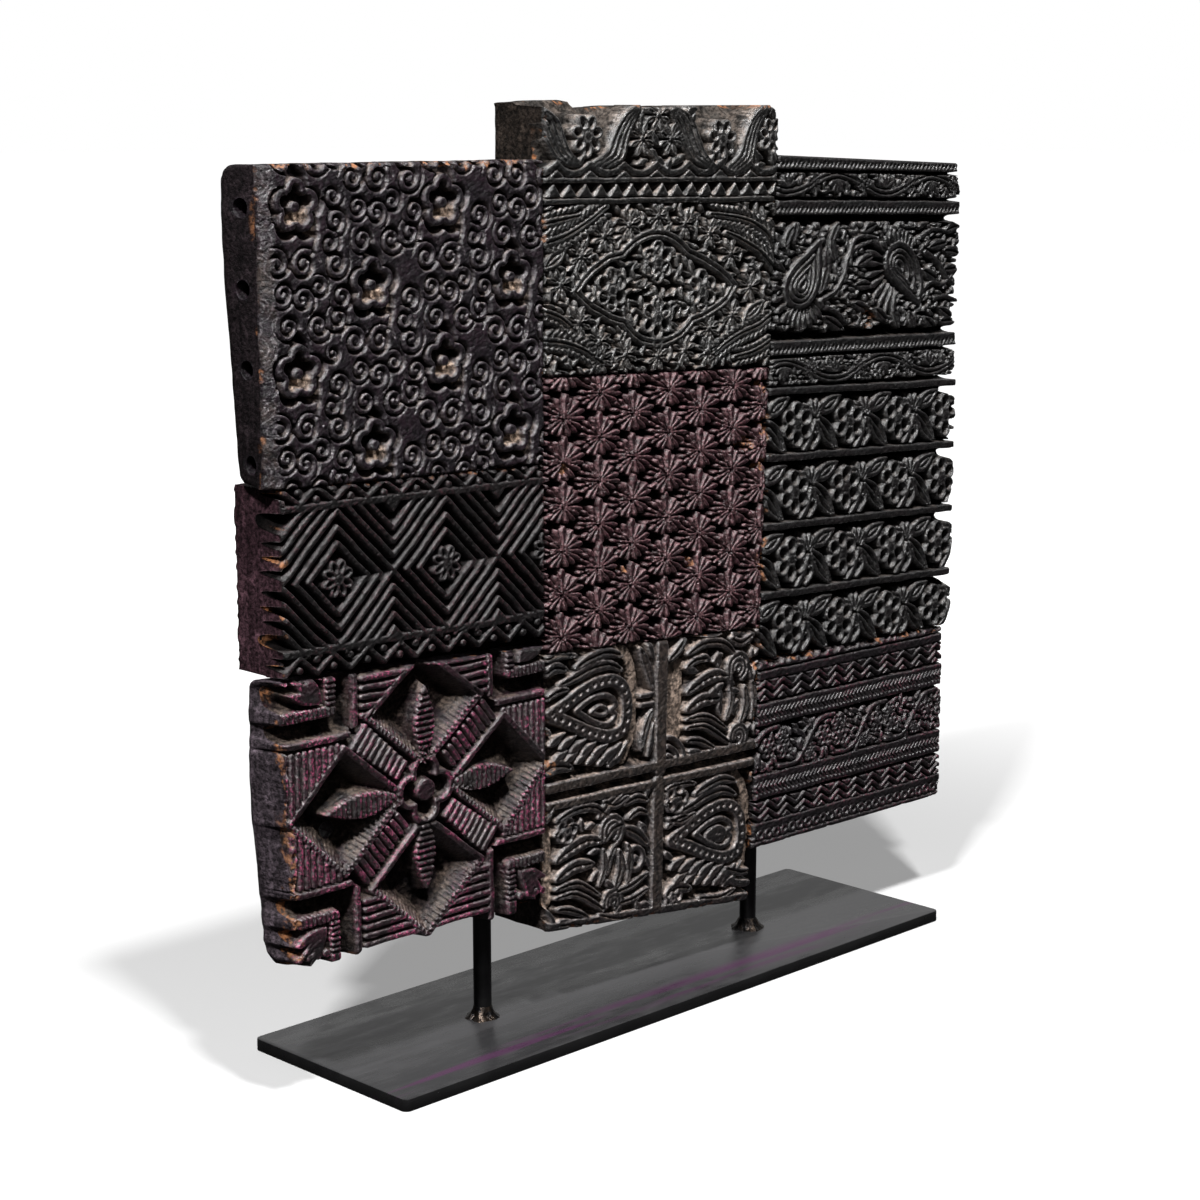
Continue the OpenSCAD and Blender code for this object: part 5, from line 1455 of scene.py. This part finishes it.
def carve_all():
    black = dyed_wood(
        "black_dyed_wood", dye=(0.0050, 0.0046, 0.0048), tint=(0.0066, 0.0051, 0.0055),
        edge=(0.026, 0.0248, 0.0247), dust=(0.064, 0.052, 0.045), side=(0.0060, 0.0047, 0.0047),
        bare=(0.10, 0.075, 0.06), dust_share=0.5, ground=0.1, shine=0.38, gloss=0.9)
    violet = dyed_wood(
        "violet_black_wood", dye=(0.0054, 0.0042, 0.0050), tint=(0.0078, 0.0048, 0.0064),
        edge=(0.025, 0.022, 0.0236), dust=(0.058, 0.044, 0.042), side=(0.0060, 0.0047, 0.0047),
        bare=(0.10, 0.075, 0.06), ink=(0.17, 0.036, 0.062), ink_share=0.35, dust_share=0.5, ground=0.1,
        shine=0.40, gloss=0.8)
    grey = dyed_wood(
        "grey_black_wood", dye=(0.0048, 0.0047, 0.0047), tint=(0.0064, 0.0058, 0.0055),
        edge=(0.058, 0.056, 0.055), dust=(0.152, 0.120, 0.100), side=(0.0140, 0.0105, 0.0085),
        bare=(0.11, 0.098, 0.088), dust_share=0.6, ground=0.4, shine=0.35)
    stained = dyed_wood(
        "stained_black_wood", dye=(0.0032, 0.0026, 0.0028), tint=(0.0046, 0.0030, 0.0034),
        edge=(0.012, 0.0098, 0.0104), dust=(0.028, 0.020, 0.019), side=(0.037, 0.0185, 0.0235),
        bare=(0.08, 0.05, 0.04), ink=(0.10, 0.035, 0.045), ink_share=0.25, dust_share=0.35, shine=0.50,
        gloss=0.62)
    purple = dyed_wood(
        "purple_dyed_wood", dye=(0.0054, 0.0036, 0.0052), tint=(0.0090, 0.0045, 0.0071),
        edge=(0.029, 0.0228, 0.0272), dust=(0.138, 0.105, 0.087), side=(0.0095, 0.0068, 0.0078),
        bare=(0.30, 0.222, 0.170), dust_share=0.45, shine=0.40, gloss=0.85)
    inked = dyed_wood(
        "ink_stained_wood", dye=(0.0076, 0.0054, 0.0061), tint=(0.0155, 0.0058, 0.0090),
        edge=(0.046, 0.032, 0.036), dust=(0.085, 0.064, 0.051), side=(0.040, 0.0310, 0.0370),
        bare=(0.09, 0.06, 0.05), ink=(0.21, 0.040, 0.088), dust_share=0.6, ground=0.8, shine=0.37)
    dusty = dyed_wood(
        "dusty_brown_wood", dye=(0.0086, 0.0075, 0.0077), tint=(0.0140, 0.0104, 0.0100),
        edge=(0.084, 0.074, 0.073), dust=(0.23, 0.176, 0.146), side=(0.022, 0.017, 0.015),
        bare=(0.19, 0.142, 0.112), dust_share=0.6, ground=1.0, shine=0.37)
    mauve = dyed_wood(
        "mauve_dyed_wood", dye=(0.0126, 0.0040, 0.0056), tint=(0.0190, 0.0048, 0.0076),
        edge=(0.084, 0.040, 0.044), dust=(0.048, 0.025, 0.026), side=(0.020, 0.015, 0.014),
        bare=(0.10, 0.06, 0.05), dust_share=0.40, ground=0.0, shine=0.44, gloss=0.75)
    # Each block: its carving, wood and slot, how chipped its left, right, bottom and top edges are,
    # how much deeper its cuts run out at the left, how wide the left edge is worn, how round its back edges
    # are
    for carve, wood, slot, chips, notch, chamfer, round_back in (
            (carve_plum, purple, "purple_black_wood", (0.4, 0.2, 0.5, 0.9), 0.0, 6.0, 6.0),
            (carve_chevron, stained, "black_wood", (0.6, 0.2, 0.3, 0.4), 9.0, 0.0, 2.0),
            (carve_quatrefoil, inked, "dusty_wood", (0.7, 0.3, 0.5, 0.2), 3.0, 0.0, 5.0),
            (carve_medallion, grey, "black_wood", (0.5, 0.4, 0.1, 0.5), 0.0, 0.0, 2.0),
            (carve_fan, mauve, "mauve_wood", (0.2, 0.7, 0.1, 0.1), 0.0, 0.0, 2.0),
            (carve_heart, dusty, "dusty_wood", (0.4, 0.6, 0.6, 0.3), 0.0, 0.0, 3.0),
            (carve_paisley, black, "black_wood", (0.1, 0.3, 0.1, 0.1), 0.0, 0.0, 2.0),
            (carve_flower_rows, black, "black_wood", (0.7, 0.3, 0.3, 0.1), 0.0, 0.0, 2.0),
            (carve_border, violet, "black_wood", (0.4, 0.4, 0.4, 0.7), 0.0, 0.0, 2.0)):
        face = carve()
        depth, raw = carved_depth(face, chips, notch, chamfer)
        block = build_block(face, depth, raw, wood, slot, round_back)
        if carve is carve_plum:
            holes = [((*SIDE_BORE[0], z), (*SIDE_BORE[1], z)) for z in SIDE_HOLES]
            drill(block, holes, SIDE_HOLE_WIDTH)
        if carve is carve_quatrefoil:
            holes = [((x, PETAL_BORE[0], z), (x, PETAL_BORE[1], z)) for x, z in PETAL_HOLES]
            drill(block, holes, PETAL_HOLE_WIDTH)
        # The sawn back is flat, so the worn edges round it don't shade it
        for side in block.data.polygons:
            if side.normal.y > 0.99 and side.center.y > (face.back - 0.05) * MM:
                side.use_smooth = False


# The stand

# The plate's corner radius and the width of its broken edges
PLATE_CORNER = 3.0
PLATE_EDGE = 0.5


def model_plate(material):
    """The flat bar: cut to length, its corners rounded and its edges broken."""
    low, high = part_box("base_plate")
    bpy.ops.object.select_all(action="DESELECT")
    bpy.ops.mesh.primitive_cube_add(size=1, location=(low + high) / 2)
    plate = bpy.context.object
    plate.name = "flat_bar"
    plate.data.name = plate.name
    plate.dimensions = high - low
    bpy.ops.object.transform_apply(location=True, rotation=True, scale=True)
    bpy.ops.object.mode_set(mode="EDIT")
    bpy.ops.mesh.select_mode(type="EDGE")
    bpy.ops.mesh.select_all(action="DESELECT")
    bpy.ops.object.mode_set(mode="OBJECT")
    for edge in plate.data.edges:
        p, q = (plate.data.vertices[i].co for i in edge.vertices)
        edge.select = abs(p.z - q.z) > PLATE_CORNER / 2 * MM
    bpy.ops.object.mode_set(mode="EDIT")
    bpy.ops.mesh.bevel(offset=PLATE_CORNER * MM, segments=6, affect="EDGES")
    bpy.ops.object.mode_set(mode="OBJECT")
    edges = plate.modifiers.new("broken_edges", "BEVEL")
    edges.width = PLATE_EDGE * MM
    edges.segments = 2
    edges.limit_method = "ANGLE"
    bpy.ops.object.modifier_apply(modifier=edges.name)
    bpy.ops.object.shade_smooth_by_angle(angle=math.radians(30))
    plate.data.materials.append(material)
    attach(plate, "root")
    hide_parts("base_plate")


# The weld's profile: distance from the rod's middle and height over the plate
WELD_PROFILE = ((8.0, 0.0), (7.3, 0.5), (6.4, 1.1), (5.6, 2.0), (5.0, 3.1), (4.5, 4.2), (4.2, 5.0),
                (3.9, 5.4))
WELD_STEPS = 96


def model_weld(node, rod, material, seed):
    """A bead run round a rod's foot: its profile ring by ring, rippled by the torch."""
    low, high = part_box(rod)
    middle = (low + high) / 2
    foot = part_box("base_plate")[1].z
    top = WELD_PROFILE[-1][1]
    bpy.ops.object.select_all(action="DESELECT")
    bpy.ops.mesh.primitive_circle_add(vertices=WELD_STEPS, radius=WELD_PROFILE[0][0] * MM,
                                      location=(middle.x, middle.y, foot))
    bead = bpy.context.object
    bead.name = node + "_bead"
    bead.data.name = bead.name
    bpy.ops.object.transform_apply(location=True, rotation=True, scale=True)
    bpy.ops.object.mode_set(mode="EDIT")
    bpy.ops.mesh.select_all(action="SELECT")
    bpy.ops.mesh.edge_face_add()
    bpy.ops.mesh.select_mode(type="EDGE")
    bpy.ops.mesh.select_all(action="SELECT")
    for (r0, h0), (r1, h1) in zip(WELD_PROFILE, WELD_PROFILE[1:]):
        bpy.ops.mesh.extrude_edges_move(TRANSFORM_OT_translate={"value": (0, 0, (h1 - h0) * MM)})
        bpy.ops.transform.resize(value=(r1 / r0, r1 / r0, 1), center_override=(middle.x, middle.y, foot))
    bpy.ops.mesh.edge_face_add()
    bpy.ops.mesh.select_all(action="SELECT")
    bpy.ops.mesh.normals_make_consistent(inside=False)
    bpy.ops.object.mode_set(mode="OBJECT")
    for v in bead.data.vertices:
        dx, dy, h = v.co.x - middle.x, v.co.y - middle.y, (v.co.z - foot) / MM
        angle = math.atan2(dy, dx)
        lump = noise(np.array([4 * math.cos(angle)]), np.array([4 * math.sin(angle)]), 1.6, seed)[0]
        ripple = 0.02 * math.sin(17 * angle + 0.9 * h) + 0.12 * lump
        share = 1 + ripple * min(1.0, (top - h) / 2.5)
        v.co.x, v.co.y = middle.x + dx * share, middle.y + dy * share
        v.co.z += 0.35 * lump * MM * math.sin(math.pi * h / top)
    bpy.ops.object.shade_smooth_by_angle(angle=math.radians(50))
    bead.data.materials.append(material)
    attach(bead, "root")
    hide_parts(node)


def dress_stand():
    """Models the plate and the welds, and gives the rods and fixings their finish."""
    model_plate(rolled_steel("plate_steel", (0.033, 0.0325, 0.034), (0.058, 0.057, 0.059),
                             tint=(0.070, 0.024, 0.064), shine=0.28))
    bead = weld_metal()
    model_weld("left_weld", "left_rod", bead, 71)
    model_weld("right_weld", "right_rod", bead, 72)
    bar = rolled_steel("rod_steel", (0.010, 0.010, 0.011), (0.020, 0.019, 0.019), shine=0.36)
    strap = rolled_steel("strap_steel", (0.05, 0.05, 0.052), (0.10, 0.098, 0.096), shine=0.45)
    screw = screw_metal()
    finishes = {"left_rod": bar, "right_rod": bar, "tie_screws": screw, "clip_screws": screw}
    for name, node in frame["nodes"].items():
        if name.endswith("_block") or name.endswith("_weld") or name == "base_plate":
            continue
        finish = finishes.get(name, strap)
        if not node.material_slots:
            node.data.materials.append(finish)
        for place in node.material_slots:
            place.material = finish


# Camera, light and floor

CAMERA_PLACE = (-796.8, -783.5, 397.5)
CAMERA_TILT = (79.0, 0.0, -44.96)
CAMERA_LENS = 75.56
# Where the lamps aim, and each lamp's name, place, size and power, all in metres and watts
LAMP_AIM = (0, 0, 0.2)
LAMPS = (("key_left", (-1.256, -0.733, 1.85), (0.15, 0.15), 74),
         ("key_right", (-0.47, -0.937, 2.13), (0.15, 0.15), 74),
         ("fill", (-0.9, -1.5, 0.9), (1.2, 1.2), 2))
BACK_LAMP = ((1.5, 1.9, 0.07), (1.2, 0.12), 220)
# The way from the camera to the backdrop behind the object
BACKDROP_WAY = (0.70, 0.70, 0.14)


def set_camera():
    data = bpy.data.cameras.new("photo_camera")
    data.lens = CAMERA_LENS
    data.sensor_width = 36.0
    camera = bpy.data.objects.new("photo_camera", data)
    camera.location = [c * MM for c in CAMERA_PLACE]
    camera.rotation_euler = Euler([math.radians(a) for a in CAMERA_TILT])
    bpy.context.scene.collection.objects.link(camera)
    bpy.context.scene.camera = camera


def softbox(name, place, size, watts):
    data = bpy.data.lights.new(name, "AREA")
    data.shape = "RECTANGLE"
    data.size, data.size_y = size
    data.energy = watts
    lamp = bpy.data.objects.new(name, data)
    lamp.location = place
    lamp.rotation_euler = (Vector(LAMP_AIM) - Vector(place)).to_track_quat("-Z", "Y").to_euler()
    bpy.context.scene.collection.objects.link(lamp)
    return lamp


def light_backs():
    """Long lamps low behind the panel, one for the backs of the blocks and one for their steel fixings."""
    blocks = [piece for piece in bpy.context.scene.objects if piece.name.startswith("carved_")]
    fixings = [piece for piece in bpy.context.scene.objects if "tie" in piece.name or "clip" in piece.name]
    for name, pieces, glossy in (("back_fill", blocks, False), ("fixing_fill", fixings, True)):
        lamp = softbox(name, *BACK_LAMP)
        # No sheen on the tops of the blocks, which the camera sees at a low angle
        lamp.visible_glossy = glossy
        lit = bpy.data.collections.new(name)
        for piece in pieces:
            lit.objects.link(piece)
        lamp.light_linking.receiver_collection = lit


def set_world(strength, mirrored):
    """A dim room with a white backdrop behind the object, which shows in the polished steel as well."""
    world = bpy.data.worlds.new("white_room")
    bpy.context.scene.world = world
    world.use_nodes = True
    tree = world.node_tree
    light = tree.nodes["Background"]
    light.inputs["Color"].default_value = (1, 1, 1, 1)
    way = tree.nodes.new("ShaderNodeVectorMath")
    way.operation = "DOT_PRODUCT"
    way.inputs[1].default_value = BACKDROP_WAY
    tree.links.new(tree.nodes.new("ShaderNodeTexCoord").outputs["Generated"], way.inputs[0])
    behind = tree.nodes.new("ShaderNodeMapRange")
    behind.interpolation_type = "SMOOTHSTEP"
    for key, value in (("From Min", 0.35), ("From Max", 0.8), ("To Min", strength), ("To Max", mirrored)):
        behind.inputs[key].default_value = value
    tree.links.new(way.outputs["Value"], behind.inputs["Value"])
    tree.links.new(behind.outputs["Result"], light.inputs["Strength"])
    white = tree.nodes.new("ShaderNodeBackground")
    white.inputs["Color"].default_value = (1, 1, 1, 1)
    white.inputs["Strength"].default_value = 1.0
    mix = tree.nodes.new("ShaderNodeMixShader")
    path_node = tree.nodes.new("ShaderNodeLightPath")
    tree.links.new(path_node.outputs["Is Camera Ray"], mix.inputs[0])
    tree.links.new(light.outputs[0], mix.inputs[1])
    tree.links.new(white.outputs[0], mix.inputs[2])
    tree.links.new(mix.outputs[0], tree.nodes["World Output"].inputs["Surface"])


def set_floor():
    bpy.ops.object.select_all(action="DESELECT")
    bpy.ops.mesh.primitive_plane_add(size=40, location=(0, 0, 0))
    floor = bpy.context.object
    floor.name = "pale_floor"
    material = bpy.data.materials.new("pale_floor")
    material.use_nodes = True
    tree = material.node_tree
    paint = tree.nodes["Principled BSDF"]
    # Pale to the camera alone, so that the dark wood doesn't mirror it
    path_node = tree.nodes.new("ShaderNodeLightPath")
    shade = tree.nodes.new("ShaderNodeMapRange")
    for key, value in (("To Min", 0.02), ("To Max", 0.36)):
        shade.inputs[key].default_value = value
    tree.links.new(path_node.outputs["Is Camera Ray"], shade.inputs["Value"])
    tree.links.new(shade.outputs["Result"], paint.inputs["Base Color"])
    paint.inputs["Roughness"].default_value = 0.9
    paint.inputs["Specular IOR Level"].default_value = 0.0
    paint.inputs["Emission Color"].default_value = (1, 1, 1, 1)
    # Its own light grows with the distance, so that the far floor is as white as the room
    place = tree.nodes.new("ShaderNodeTexCoord")
    away = tree.nodes.new("ShaderNodeVectorMath")
    away.operation = "LENGTH"
    tree.links.new(place.outputs["Object"], away.inputs[0])
    grow = tree.nodes.new("ShaderNodeMapRange")
    grow.interpolation_type = "SMOOTHSTEP"
    for key, value in (("From Min", 0.26), ("From Max", 0.9), ("To Min", 0.28), ("To Max", 1.0)):
        grow.inputs[key].default_value = value
    tree.links.new(away.outputs["Value"], grow.inputs["Value"])
    lift = tree.nodes.new("ShaderNodeMath")
    lift.operation = "MULTIPLY"
    tree.links.new(grow.outputs["Result"], lift.inputs[1])
    tree.links.new(path_node.outputs["Is Camera Ray"], lift.inputs[0])
    tree.links.new(lift.outputs[0], paint.inputs["Emission Strength"])
    floor.data.materials.append(material)


carve_all()
dress_stand()
set_camera()
set_world(strength=0.02, mirrored=0.44)
set_floor()
for lamp_parts in LAMPS:
    softbox(*lamp_parts)
light_backs()

view = bpy.context.scene.view_settings
view.view_transform = "Standard"
